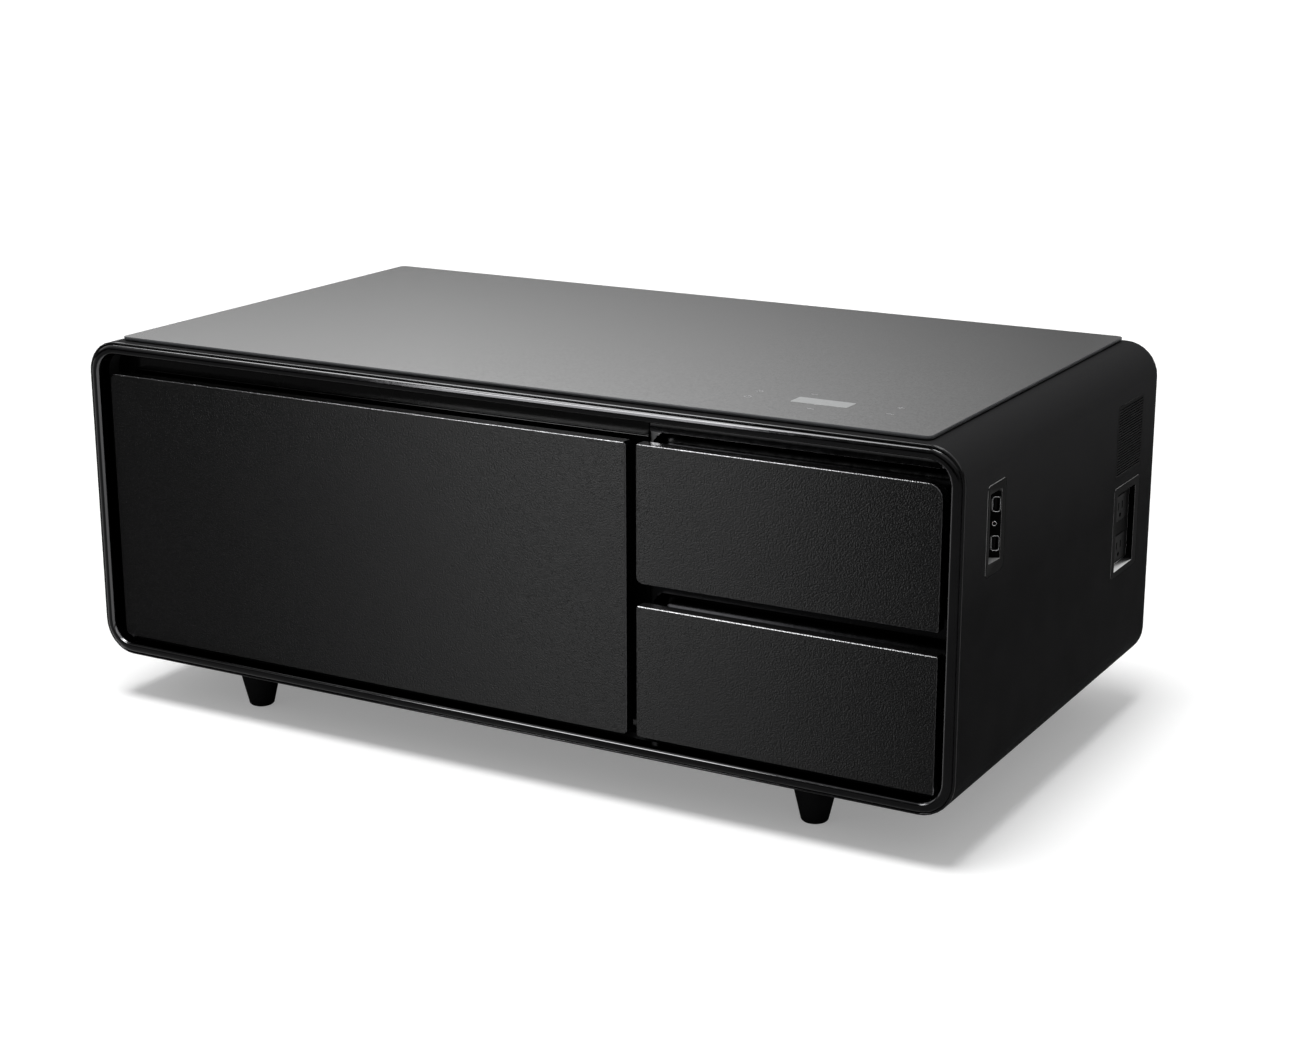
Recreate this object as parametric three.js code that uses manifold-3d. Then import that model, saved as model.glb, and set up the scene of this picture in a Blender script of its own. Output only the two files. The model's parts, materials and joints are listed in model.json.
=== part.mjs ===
// Refrigerator coffee table: a low rounded cabinet with a pull-out refrigerator, two drawers and a glass top.
// Millimetres, +X to the right, +Y to the back, +Z up, origin on the floor under the middle of the body.

import * as THREE from 'three';
import { mergeVertices } from 'three/addons/utils/BufferGeometryUtils.js';
import Module from 'manifold-3d';

const wasm = await Module();
wasm.setup();

// Body
const width = 1100;
const depth = 584;
const bodyHeight = 381.5;
const cornerRadius = 39;
const wall = 12;

// Steps of each quarter turn, and of a whole turn where it is small
const cornerSteps = 8;
const roundSteps = 5;
const smallSteps = 3;
const pinSteps = 12;

// Clearances and cuts
const fit = 0.3;
const running = 0.3;
const overrun = 4;
const weld = 0.0005;

// Legs
const legHeight = 58.5;
const legInsetSide = 181.7;
const legInsetFront = 66;
const legFootRadius = 15.25;
const legTopRadius = 27;
const legRound = 4;
const legFlangeRadius = 34;
const legFlangeThickness = 3;
const legSteps = 32;
const padRadius = 10;
const padThickness = 3;
const padProud = 1;

// Glass top
const glassThickness = 3.9;
const glassGap = 1.4;
const glassSideInset = 41.3;
const glassFrontInset = 14.3;
const glassRearInset = 4.6;
const glassCorner = 7;
const glassEdge = 0.6;
const spacerInset = 9;
const spacerWidth = 12;

// Touch module under the glass
const touchFromRight = 96;
const touchFromFront = 73;
const touchWidth = 196;
const touchDepth = 54;
const touchFlange = 5;
const touchFlangeThickness = 0.8;
const touchBodyHeight = 13;

// Front bezel
const bezelWidth = 14;
const bezelProud = 6;
const bezelFlangeDepth = 14;
const bezelRim = 2.2;
const bezelRimSetback = 2.8;
const bezelOuterRound = 1.2;
const bezelGroove = 0.8;
const bezelGrooveBottom = 4.8;
const bezelBeadDepth = 3.6;
const bezelInnerRound = 3.5;

// Fronts of the refrigerator and the drawers
const frontThickness = 15;
const frontSetback = 9;
const frontSideMargin = 24.5;
const frontTopMargin = 39.5;
const frontBottomMargin = 20.5;
const fridgeFrontWidth = 697.5;
const columnGap = 11.5;
const drawerGap = 24.5;
const upperFrontExtra = 4;
const frontEdge = 1.2;
const frontEdgeSteps = 2;
const squareCorner = 2.5;
const softCorner = 4;
const roundCorner = 8;
const outerCorner = 16;

// Fascias behind the fronts
const fasciaSetback = 38;
const fasciaThickness = 21;
const pocketDepth = 17;
const pocketRound = 5.5;
const headerRoll = 1.6;
const fridgePocketHeight = 18;
const railEnd = 1.8;
const pocketEnd = 5.5;
const pocketBevel = 10;
const drawerLipRaise = 8;
const drawerPocketHeight = 24;
const middlePocketDrop = 16;
const lipLean = 3;
const lipHeight = 14;
const boxClearance = 6;

// Inner panels
const dividerThickness = 12;
const bayPanelThickness = 12;
const bayPanelInset = 38;
const partitionThickness = 10;
const machineBayDepth = 155;
const backPanelThickness = 5;
const backPanelInset = 8;

// Refrigerator
const sideInsulation = 45;
const floorInsulation = 45;
const roofInsulation = 70;
const rearInsulation = 45;
const cabinetRearGap = 15;
const cavityRadius = 14;
const coreInset = 17.5;
const coreTopInset = 24.5;
const coreClearance = 3;
const coreRadius = 10;
const gasketThickness = 11;
const gasketWidth = 12;
const gasketLip = 3;
const gasketWaist = 4.5;
const gasketFace = 1.5;
const tubTopGap = 30.9;
const tubRearGap = 39;
const tubWall = 3;
const tubFloorGap = 6;
const tubRadius = 18;
const tubRim = 6;
const evaporatorSideGap = 59.5;
const evaporatorTopGap = 22;
const evaporatorSheet = 1.6;
const evaporatorChannel = 3;
const evaporatorSteps = 8;
const evaporatorPitch = 30;
const evaporatorAboveFloor = 40;

// Drawer boxes
const boxRearGap = 37.7;
const boxWall = 12;
const boxFloor = 6;
const boxFloorRaise = 8;
const upperBoxDrop = 34.5;
const upperBoxRaise = 18;
const lowerBoxDrop = 31.5;
const lowerBoxRaise = 13;

// Telescopic slides
const slideHeight = 45;
const slideDepth = 12.7;
const slideSheet = 1.2;
const slideShort = 2.7;
const slideMiddleShort = 1.7;
const drawerSlideRearGap = 20.7;
const fridgeSlideRearGap = 85.7;
const slideSetback = 2;
const fridgeSlideRaise = 60;

// Right side: flanges of the inserts
const insertFlange = 4;
const insertFlangeThickness = 3;

// Right side: USB panel
const usbFromFront = 64;
const usbWidth = 49;
const usbDrop = 51;
const usbHeight = 95;
const usbCorner = 5;
const usbRoundCorner = 8;
const usbPocketFront = 7.5;
const usbPocketRear = 11;
const usbPocketTop = 10;
const usbPocketBottom = 13;
const usbPocketDepth = 13;
const portTurn = 0.49;
const portWidth = 8;
const portHeight = 15.4;
const portRadius = 2.6;
const portFromEdge = 5.3;
const portProud = 0.5;
const portBodyDepth = 10.5;
const portSlotWidth = 5.1;
const portSlotHeight = 12.5;
const portSlotDepth = 9.5;
const portTongueWidth = 1.9;
const portTongueInset = 0.7;
const upperPortDrop = 16.4;
const lowerPortRaise = 15.3;

// Right side: grille, fan and outlets
const serviceFromRear = 45;
const serviceWidth = 87;
const serviceCorner = 4;
const grilleDrop = 49;
const grilleHeight = 85;
const grilleBorder = 3;
const grillePitch = 3.1;
const grilleSlot = 1.6;
const grilleDepth = 6;
const fanThickness = 25;
const fanWall = 3;
const fanHubRadius = 15;
const fanHubDepth = 4;
const fanStrut = 5;
const fanShaftRadius = 2;
const fanShaftLength = 13;
const fanBoreLength = 14;
const fanBladeRoot = 1.5;
const fanTipGap = 2;
const fanBlades = 7;
const fanBladeThickness = 1.6;
const fanBladeDepth = 15;
const fanBladeTwist = 0.62;
const fanRotorDepth = 17;
const fanSteps = 28;
const outletGap = 10;
const outletHeight = 107;
const nicheFront = 10.8;
const nicheRear = 13.9;
const nicheTop = 9.5;
const nicheBottom = 7;
const nicheDepth = 7.25;
const nicheRamp = 4;
const nicheCorner = 2;
const socketWidth = 40;
const socketHeight = 30;
const socketProud = 1;
const socketBody = 14;
const socketSpacing = 47;
const socketRadius = 4;
const bladeSlotWidth = 2.4;
const bladeSlotHeight = 8;
const bladeSlotSpacing = 12.7;
const groundRadius = 2.6;
const groundDrop = 11;
const socketSlotDepth = 12;

// Machine bay
const compressorRadius = 56;
const compressorHeight = 150;
const compressorDome = 26;
const compressorBowl = 13;
const compressorBowlRadius = 42;
const compressorFromSide = 90;
const compressorFromRear = 94;
const compressorPlate = 3;
const compressorPlateWidth = 150;
const compressorPlateDepth = 100;
const compressorFoot = 9;
const compressorFootRadius = 9;
const compressorFootTop = 7;
const compressorFootInset = 13;
const compressorFootSteps = 14;
const compressorSteps = 28;
const condenserHeight = 190;
const condenserDepth = 24;
const condenserFromSide = 28;
const condenserInletGap = 6;
const condenserRaise = 30;
const condenserFinPitch = 12;
const condenserFinGap = 7;
const condenserFinDepth = 16;
const inletWidth = 48;
const inletHeight = 27;
const inletBody = 30;
const inletFlange = 4;
const inletFlangeThickness = 2.5;
const inletFromSide = 58;
const inletRaise = 48;
const inletPinCavity = 16;
const inletMouthWidth = 26;
const inletMouthHeight = 17;
const inletMouthCorner = 3.5;
const louvreHeight = 6;
const louvrePitch = 15;
const louvreColumnGap = 16;
const louvreSideMargin = 6;
const louvreEndMargin = 24;

// Levels and planes
const half = width / 2;
const frontPlane = -depth / 2;
const backPlane = depth / 2;
const bodyBottom = legHeight;
const bodyTop = legHeight + bodyHeight;
const insideLeft = -half + wall + fit;
const insideRight = half - wall - fit;
const insideBottom = bodyBottom + wall + fit;
const insideTop = bodyTop - wall - fit;
const insideRadius = cornerRadius - wall - fit;
const backPanelRear = backPlane - backPanelInset;
const backPanelFront = backPanelRear - backPanelThickness;
const frontFace = frontPlane + frontSetback;
const frontBack = frontFace + frontThickness;
const fasciaFace = frontPlane + fasciaSetback;
const fasciaBack = fasciaFace + fasciaThickness;
const behindFascia = fasciaBack + fit;

// Front outlines, each as left, right, bottom and top
const frontsBottom = bodyBottom + frontBottomMargin;
const frontsTop = bodyTop - frontTopMargin;
const lowerFrontHeight = (frontsTop - frontsBottom - drawerGap - upperFrontExtra) / 2;
const lowerFrontTop = frontsBottom + lowerFrontHeight;
const frontsLeft = -half + frontSideMargin;
const fridgeFront = { x0: frontsLeft, x1: frontsLeft + fridgeFrontWidth, z0: frontsBottom, z1: frontsTop };
const lowerFront = {
  x0: fridgeFront.x1 + columnGap, x1: half - frontSideMargin, z0: frontsBottom, z1: lowerFrontTop,
};
const upperFront = { x0: lowerFront.x0, x1: lowerFront.x1, z0: lowerFrontTop + drawerGap, z1: frontsTop };

// Panels that divide the inside
const columnMiddle = fridgeFront.x1 + columnGap / 2;
const dividerLeft = columnMiddle - dividerThickness / 2;
const dividerRight = dividerLeft + dividerThickness;
const bayPanelRight = half - bayPanelInset;
const bayPanelLeft = bayPanelRight - bayPanelThickness;
const partitionRear = backPanelFront - machineBayDepth;
const partitionFront = partitionRear - partitionThickness;

// Refrigerator planes
const coreBox = {
  x0: fridgeFront.x0 + coreInset, x1: fridgeFront.x1 - coreInset,
  z0: fridgeFront.z0 + coreInset, z1: fridgeFront.z1 - coreTopInset,
};
const coreFront = frontBack + fit;
const coreBack = behindFascia - fit - gasketThickness - fit;
const cabinetBack = backPanelFront - cabinetRearGap;
const cavity = {
  x0: insideLeft + sideInsulation, x1: dividerLeft - fit - sideInsulation,
  z0: insideBottom + floorInsulation, z1: insideTop - roofInsulation,
};
const cavityBack = cabinetBack - rearInsulation;

// Drawer planes
const drawerBoxLeft = dividerRight + slideDepth + 2 * fit;
const drawerBoxRight = bayPanelLeft - slideDepth - 2 * fit;
const drawerBoxFront = frontBack + fit;
const drawerBoxRear = partitionFront - boxRearGap;
const upperBox = { z0: upperFront.z0 + upperBoxRaise, z1: upperFront.z1 - upperBoxDrop };
const lowerBox = { z0: lowerFront.z0 + lowerBoxRaise, z1: lowerFront.z1 - lowerBoxDrop };

// Slide planes
const slideFront = behindFascia + slideSetback;
const drawerSlideRear = partitionFront - drawerSlideRearGap;
const fridgeSlideRear = cavityBack - fridgeSlideRearGap;

// Planes of the inserts in the right side
const insertFlangeFace = half - wall - fit;
const insertInner = insertFlangeFace - insertFlangeThickness;

// Outlines

const quarter = Math.PI / 2;

function arc(u, v, radius, from, to, steps) {
  const points = [];
  for (let i = 0; i <= steps; i += 1) {
    const angle = from + (to - from) * (i / steps);
    points.push(new THREE.Vector2(u + radius * Math.cos(angle), v + radius * Math.sin(angle)));
  }
  return points;
}

function outlineOf(points) {
  return new THREE.Shape(points.map((p) => (Array.isArray(p) ? new THREE.Vector2(p[0], p[1]) : p)));
}

function rect(u0, u1, v0, v1) {
  return outlineOf([[u0, v0], [u1, v0], [u1, v1], [u0, v1]]);
}

// Corner radii run bottom left, bottom right, top right, top left
function roundedRect(u0, u1, v0, v1, radii, steps = cornerSteps) {
  const [a, b, c, d] = Array.isArray(radii) ? radii : [radii, radii, radii, radii];
  const corner = (u, v, radius, turn) => (
    radius > 0 ? arc(u, v, radius, quarter * turn, quarter * (turn + 1), steps) : [new THREE.Vector2(u, v)]
  );
  return outlineOf([
    ...corner(u0 + a, v0 + a, a, 2),
    ...corner(u1 - b, v0 + b, b, 3),
    ...corner(u1 - c, v1 - c, c, 0),
    ...corner(u0 + d, v1 - d, d, 1),
  ]);
}

function disc(u, v, radius, steps) {
  return outlineOf(arc(u, v, radius, 0, 2 * Math.PI, steps).slice(1));
}

// Solids

function solidFrom(points, triangles) {
  const vertProperties = new Float32Array(points);
  const triVerts = new Uint32Array(triangles);
  return new wasm.Manifold(new wasm.Mesh({ numProp: 3, vertProperties, triVerts }));
}

function solidOf(geometry) {
  geometry.deleteAttribute('normal');
  geometry.deleteAttribute('uv');
  const merged = mergeVertices(geometry, weld);
  const index = merged.index.array;
  const kept = [];
  for (let i = 0; i < index.length; i += 3) {
    const [a, b, c] = [index[i], index[i + 1], index[i + 2]];
    if (a !== b && b !== c && c !== a) kept.push(a, b, c);
  }
  return solidFrom(merged.attributes.position.array, kept);
}

function axes(alongU, alongV, alongDepth) {
  return new THREE.Matrix4().makeBasis(alongU, alongV, alongDepth);
}

const right = new THREE.Vector3(1, 0, 0);
const back = new THREE.Vector3(0, 1, 0);
const up = new THREE.Vector3(0, 0, 1);
const front = new THREE.Vector3(0, -1, 0);

function extrude(outline, length, edge, edgeSteps) {
  return new THREE.ExtrudeGeometry(outline, {
    depth: length - 2 * edge,
    bevelEnabled: edge > 0,
    bevelThickness: edge,
    bevelSize: edge,
    bevelOffset: -edge,
    bevelSegments: edgeSteps,
  }).translate(0, 0, edge);
}

// The outline is drawn in Y and Z
function alongX(outline, x0, x1, edge = 0, edgeSteps = 1) {
  const geometry = extrude(outline, x1 - x0, edge, edgeSteps).translate(0, 0, x0);
  return solidOf(geometry.applyMatrix4(axes(back, up, right)));
}

// The outline is drawn in X and Z
function alongY(outline, y0, y1, edge = 0, edgeSteps = 1) {
  const geometry = extrude(outline, y1 - y0, edge, edgeSteps).translate(0, 0, -y1);
  return solidOf(geometry.applyMatrix4(axes(right, up, front)));
}

// The outline is drawn in X and Y
function alongZ(outline, z0, z1, edge = 0, edgeSteps = 1) {
  return solidOf(extrude(outline, z1 - z0, edge, edgeSteps).translate(0, 0, z0));
}

function block(x0, x1, y0, y1, z0, z1) {
  const geometry = new THREE.BoxGeometry(x1 - x0, y1 - y0, z1 - z0);
  return solidOf(geometry.translate((x0 + x1) / 2, (y0 + y1) / 2, (z0 + z1) / 2));
}

// The profile holds radius and height pairs from the bottom up
function turned(profile, x, y, steps) {
  const points = profile.map(([radius, height]) => new THREE.Vector2(radius, height));
  const geometry = new THREE.LatheGeometry(points, steps);
  return solidOf(geometry.rotateX(quarter).translate(x, y, 0));
}

function joined(...solids) {
  return solids.reduce((whole, solid) => whole.add(solid));
}

function cutBy(solid, ...cuts) {
  return cuts.reduce((rest, cut) => rest.subtract(cut), solid);
}

// A closed section swept round a rounded rectangle in X and Z.
// Section points are outward distance from the loop and distance behind the front plane.
function frameRing(loop, radius, section, steps) {
  const rows = [];
  const corners = [
    [loop.x0 + radius, loop.z0 + radius, 2], [loop.x1 - radius, loop.z0 + radius, 3],
    [loop.x1 - radius, loop.z1 - radius, 4], [loop.x0 + radius, loop.z1 - radius, 5],
  ];
  for (const [x, z, turn] of corners) {
    for (let i = 0; i <= steps; i += 1) {
      const angle = quarter * (turn + i / steps);
      rows.push(section.map(([out, behind]) => [
        x + (radius + out) * Math.cos(angle), frontPlane + behind, z + (radius + out) * Math.sin(angle),
      ]));
    }
  }
  return loft(rows);
}

// Rows of points joined into a closed ring of faces
function loft(rows) {
  const count = rows[0].length;
  const triVerts = [];
  rows.forEach((row, i) => {
    const next = ((i + 1) % rows.length) * count;
    for (let k = 0; k < count; k += 1) {
      const [a, b] = [i * count + k, i * count + ((k + 1) % count)];
      const [c, d] = [next + k, next + ((k + 1) % count)];
      triVerts.push(a, c, b, b, c, d);
    }
  });
  return solidFrom(rows.flat(2), triVerts);
}

// Space inside the shell, which inner panels are trimmed to
function inside(solid) {
  const outline = roundedRect(insideLeft, insideRight, insideBottom, insideTop, insideRadius);
  return solid.intersect(alongY(outline, frontPlane, backPlane));
}

// Finishes

const finishes = {
  satinBlack: [0x1b1c1e, 0.5, 0],
  textureBlack: [0x202123, 0.62, 0],
  glossBlack: [0x08080a, 0.12, 0],
  mattBlack: [0x121214, 0.7, 0],
  smokedGlass: [0x303236, 0.14, 0],
  rubberBlack: [0x161616, 0.9, 0],
  foamGrey: [0xb9bcbe, 0.75, 0],
  linerWhite: [0xe6e8e8, 0.35, 0],
  zincSteel: [0xa8abae, 0.35, 1],
  aluminium: [0xc4c7ca, 0.4, 1],
  chrome: [0xd6d8da, 0.12, 1],
  board: [0x2a2725, 0.7, 0],
  machineBlack: [0x18191b, 0.38, 0.2],
};

const table = new THREE.Group();

function add(name, solid, finish) {
  const mesh = solid.getMesh();
  const geometry = new THREE.BufferGeometry();
  geometry.setAttribute('position', new THREE.BufferAttribute(new Float32Array(mesh.vertProperties), 3));
  geometry.setIndex(new THREE.BufferAttribute(new Uint32Array(mesh.triVerts), 1));
  geometry.computeVertexNormals();
  const [color, roughness, metalness] = finishes[finish];
  const node = new THREE.Mesh(geometry, new THREE.MeshStandardMaterial({ color, roughness, metalness }));
  node.name = name;
  table.add(node);
}

// Openings in the right side, each as front, rear, bottom and top
const usbOpening = {
  y0: frontPlane + usbFromFront, y1: frontPlane + usbFromFront + usbWidth,
  z0: bodyTop - usbDrop - usbHeight, z1: bodyTop - usbDrop,
};
const grilleOpening = {
  y0: backPlane - serviceFromRear - serviceWidth, y1: backPlane - serviceFromRear,
  z0: bodyTop - grilleDrop - grilleHeight, z1: bodyTop - grilleDrop,
};
const outletOpening = {
  y0: grilleOpening.y0, y1: grilleOpening.y1,
  z0: grilleOpening.z0 - outletGap - outletHeight, z1: grilleOpening.z0 - outletGap,
};
const usbCorners = [usbCorner, usbRoundCorner, usbCorner, usbCorner];
const serviceCorners = [serviceCorner, serviceCorner, serviceCorner, serviceCorner];
const touchBody = {
  x0: half - touchFromRight - touchWidth, x1: half - touchFromRight,
  y0: frontPlane + touchFromFront, y1: frontPlane + touchFromFront + touchDepth,
};

function sideOutline(opening, corners, margin) {
  return roundedRect(
    opening.y0 - margin, opening.y1 + margin, opening.z0 - margin, opening.z1 + margin,
    corners.map((radius) => radius + margin), smallSteps,
  );
}

function sideHole(opening, corners) {
  return alongX(sideOutline(opening, corners, 0), half - wall - overrun, half + overrun);
}

// Sleeve round the whole body, open at the front and the back
function cabinetShell() {
  const shellFront = frontPlane + bezelProud + fit;
  const outer = alongY(roundedRect(-half, half, bodyBottom, bodyTop, cornerRadius), shellFront, backPlane);
  const hollow = roundedRect(
    -half + wall, half - wall, bodyBottom + wall, bodyTop - wall, cornerRadius - wall,
  );
  const touchHole = rect(touchBody.x0 - fit, touchBody.x1 + fit, touchBody.y0 - fit, touchBody.y1 + fit);
  return cutBy(
    outer,
    alongY(hollow, frontPlane - overrun, backPlane + overrun),
    sideHole(usbOpening, usbCorners),
    sideHole(grilleOpening, serviceCorners),
    sideHole(outletOpening, serviceCorners),
    alongZ(touchHole, bodyTop - wall - overrun, bodyTop + overrun),
  );
}

// Moulded bead inside a narrow rim round the front, with a flange that plugs into the shell
function frontBezel() {
  const flangeOut = -wall - fit;
  const mouth = bezelProud + bezelFlangeDepth;
  const rimEdge = arc(
    -bezelOuterRound, bezelRimSetback + bezelOuterRound, bezelOuterRound, 0, -quarter, smallSteps,
  );
  const beadEdge = -bezelRim - bezelGroove;
  const crest = -bezelWidth + bezelInnerRound;
  const bead = [];
  for (let i = 0; i < roundSteps; i += 1) {
    const angle = quarter * (i / roundSteps);
    bead.push([crest + (beadEdge - crest) * Math.cos(angle), bezelBeadDepth * (1 - Math.sin(angle))]);
  }
  const innerEdge = arc(crest, bezelInnerRound, bezelInnerRound, -quarter, -2 * quarter, smallSteps);
  const section = [
    [flangeOut, mouth], [flangeOut, bezelProud], [0, bezelProud],
    ...rimEdge.map((p) => [p.x, p.y]),
    [-bezelRim, bezelRimSetback], [-bezelRim, bezelGrooveBottom], [beadEdge, bezelGrooveBottom],
    ...bead,
    ...innerEdge.map((p) => [p.x, p.y]),
    [-bezelWidth, mouth],
  ];
  const loop = { x0: -half, x1: half, z0: bodyBottom, z1: bodyTop };
  return frameRing(loop, cornerRadius, section, cornerSteps);
}

function glassOutline(inset, corner) {
  return roundedRect(
    -half + glassSideInset + inset, half - glassSideInset - inset,
    frontPlane + glassFrontInset + inset, backPlane - glassRearInset - inset, corner, roundSteps,
  );
}

function glassTop() {
  const bottom = bodyTop + glassGap;
  return alongZ(glassOutline(0, glassCorner), bottom, bottom + glassThickness, glassEdge, 1);
}

function glassSpacer() {
  const outer = alongZ(glassOutline(spacerInset, glassCorner), bodyTop, bodyTop + glassGap);
  const hole = glassOutline(spacerInset + spacerWidth, glassCorner);
  return outer.subtract(alongZ(hole, bodyTop - overrun, bodyTop + glassGap + overrun));
}

function touchModule() {
  const flangeBottom = bodyTop + fit;
  const { x0, x1, y0, y1 } = touchBody;
  return joined(
    block(x0, x1, y0, y1, flangeBottom - touchBodyHeight, flangeBottom + touchFlangeThickness),
    block(
      x0 - touchFlange, x1 + touchFlange, y0 - touchFlange, y1 + touchFlange,
      flangeBottom, flangeBottom + touchFlangeThickness,
    ),
  );
}

// Tapered foot with a rounded lower edge, a recess for the pad and a screw flange on top
function leg(x, y) {
  const recess = padThickness + fit;
  const top = legHeight - fit;
  const flangeBottom = top - legFlangeThickness;
  const edge = arc(legFootRadius - legRound, padProud + legRound, legRound, -quarter, 0, smallSteps);
  return turned([
    [0, recess], [padRadius + fit, recess], [padRadius + fit, padProud],
    ...edge.map((p) => [p.x, p.y]),
    [legTopRadius, flangeBottom], [legFlangeRadius, flangeBottom], [legFlangeRadius, top], [0, top],
  ], x, y, legSteps);
}

function footPad(x, y) {
  return turned([[0, 0], [padRadius, 0], [padRadius, padThickness], [0, padThickness]], x, y, legSteps);
}

// Fronts

function frontPanel(box, radii) {
  const outline = roundedRect(box.x0, box.x1, box.z0, box.z1, radii, roundSteps);
  return alongY(outline, frontFace, frontBack, frontEdge, frontEdgeSteps);
}

// Frame behind the large front, with a finger pocket under its header
function fridgeFascia() {
  const headerBottom = fridgeFront.z1;
  const opening = roundedRect(
    coreBox.x0 - coreClearance, coreBox.x1 + coreClearance,
    coreBox.z0 - coreClearance, coreBox.z1 + coreClearance, coreRadius + coreClearance, roundSteps,
  );
  const frame = alongY(rect(insideLeft, dividerRight, insideBottom, insideTop), fasciaFace, fasciaBack);
  const pocket = alongX(
    roundedRect(
      fasciaFace - overrun, fasciaFace + pocketDepth, headerBottom - fridgePocketHeight, headerBottom,
      [0, pocketRound, pocketRound, 0], smallSteps,
    ),
    coreBox.x0, coreBox.x1,
  );
  const rollOutline = disc(fasciaFace, headerBottom + headerRoll, headerRoll, pinSteps);
  const roll = alongX(rollOutline, insideLeft + insideRadius, dividerRight);
  const coreHole = alongY(opening, fasciaFace - overrun, fasciaBack + overrun);
  return inside(cutBy(joined(frame, roll), pocket, coreHole));
}

// Finger pocket with a bevelled left end and a sloping floor
function fingerPocket(top) {
  const x0 = dividerRight + pocketEnd;
  const x1 = upperFront.x1;
  const bottom = top - drawerPocketHeight;
  const seen = alongY(
    outlineOf([
      [x0, bottom], [x1, bottom], [x1, top], [x0 + pocketBevel, top], [x0, top - pocketBevel],
    ]),
    fasciaFace - overrun, fasciaFace + pocketDepth,
  );
  const section = alongX(
    outlineOf([
      [fasciaFace - overrun, bottom], [fasciaFace, bottom],
      ...arc(fasciaFace, top - drawerPocketHeight / 2, pocketDepth, -quarter / 2, quarter / 3, roundSteps),
      [fasciaFace + pocketRound, top], [fasciaFace - overrun, top],
    ]),
    x0 - overrun, x1 + overrun,
  );
  return seen.intersect(section);
}

// Comb of three rails behind the drawer fronts, joined by a post at the right
function drawerFascia() {
  const x0 = dividerRight + railEnd;
  const plate = alongY(rect(x0, insideRight, insideBottom, insideTop), fasciaFace, fasciaBack);
  const lipBottom = upperFront.z1 + drawerLipRaise;
  const lipOutline = outlineOf([
    [fasciaFace, lipBottom], [fasciaFace, lipBottom + lipHeight], [fasciaFace - lipLean, lipBottom],
  ]);
  const leaningLip = alongX(lipOutline, x0, insideRight - insideRadius);
  const slots = [upperBox, lowerBox].map((box) => block(
    x0 - overrun, bayPanelLeft, fasciaFace - overrun, fasciaBack + overrun,
    box.z0 - boxClearance, box.z1 + boxClearance,
  ));
  const pockets = [lipBottom, upperFront.z0 - middlePocketDrop].map(fingerPocket);
  return inside(cutBy(joined(plate, leaningLip), ...slots, ...pockets));
}

// Inner panels

function centerDivider() {
  return inside(block(dividerLeft, dividerRight, behindFascia, backPanelFront - fit, bodyBottom, bodyTop));
}

function baySidePanel() {
  return inside(block(bayPanelLeft, bayPanelRight, behindFascia, partitionFront - fit, bodyBottom, bodyTop));
}

function machinePartition() {
  return inside(block(dividerRight + fit, half, partitionFront, partitionRear, bodyBottom, bodyTop));
}

// Panel with two columns of louvre slots behind the condenser
function backPanel() {
  const field = condenserBox();
  const middle = (field.x0 + field.x1) / 2;
  const columns = [
    [field.x0 + louvreSideMargin, middle - louvreColumnGap / 2],
    [middle + louvreColumnGap / 2, field.x1 - louvreSideMargin],
  ];
  const slots = [];
  const lastTop = field.z1 - louvreEndMargin;
  for (let z = field.z0 + louvreEndMargin; z + louvreHeight <= lastTop; z += louvrePitch) {
    for (const [x0, x1] of columns) {
      slots.push(block(x0, x1, backPanelFront - overrun, backPanelRear + overrun, z, z + louvreHeight));
    }
  }
  const inlet = inletBox(fit);
  const inletHole = block(
    inlet.x0, inlet.x1, backPanelFront - overrun, backPanelRear + overrun, inlet.z0, inlet.z1,
  );
  const plate = block(-half, half, backPanelFront, backPanelRear, bodyBottom, bodyTop);
  return cutBy(inside(plate), inletHole, ...slots);
}

function inletBox(margin) {
  const x = half - inletFromSide;
  const z = insideBottom + inletRaise;
  return {
    x0: x - inletWidth / 2 - margin, x1: x + inletWidth / 2 + margin,
    z0: z - inletHeight / 2 - margin, z1: z + inletHeight / 2 + margin,
  };
}

// Recessed mains inlet, seated on the outside of the back panel
function powerInlet() {
  const body = inletBox(0);
  const flange = inletBox(inletFlange);
  const flangeFront = backPanelRear + fit;
  const flangeRear = flangeFront + inletFlangeThickness;
  const [x, z] = [(body.x0 + body.x1) / 2, (body.z0 + body.z1) / 2];
  const mouth = alongY(
    roundedRect(
      x - inletMouthWidth / 2, x + inletMouthWidth / 2, z - inletMouthHeight / 2, z + inletMouthHeight / 2,
      inletMouthCorner, smallSteps,
    ),
    flangeRear - inletPinCavity, flangeRear + overrun,
  );
  return cutBy(joined(
    block(body.x0, body.x1, backPanelRear - inletBody, flangeRear, body.z0, body.z1),
    block(flange.x0, flange.x1, flangeFront, flangeRear, flange.z0, flange.z1),
  ), mouth);
}

// Refrigerator

function fridgeCabinet() {
  const outer = inside(block(-half, dividerLeft - fit, behindFascia, cabinetBack, bodyBottom, bodyTop));
  const hollow = roundedRect(cavity.x0, cavity.x1, cavity.z0, cavity.z1, cavityRadius, roundSteps);
  return outer.subtract(alongY(hollow, behindFascia - overrun, cavityBack));
}

function fridgeDoorCore() {
  const outline = roundedRect(coreBox.x0, coreBox.x1, coreBox.z0, coreBox.z1, coreRadius, roundSteps);
  return alongY(outline, coreFront, coreBack);
}

// Magnetic seal with a thin foot on the core and a hollow-backed lip towards the cabinet
function fridgeGasket() {
  const foot = coreBack + fit - frontPlane;
  const seal = foot + gasketThickness;
  const section = [
    [-gasketWidth, foot], [-gasketWidth, seal], [-gasketFace, seal], [-gasketFace, seal - gasketLip],
    [-gasketLip, foot + gasketWaist], [0, foot + gasketLip], [0, foot],
  ];
  return frameRing(coreBox, coreRadius + gasketWidth, section, roundSteps);
}

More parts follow.
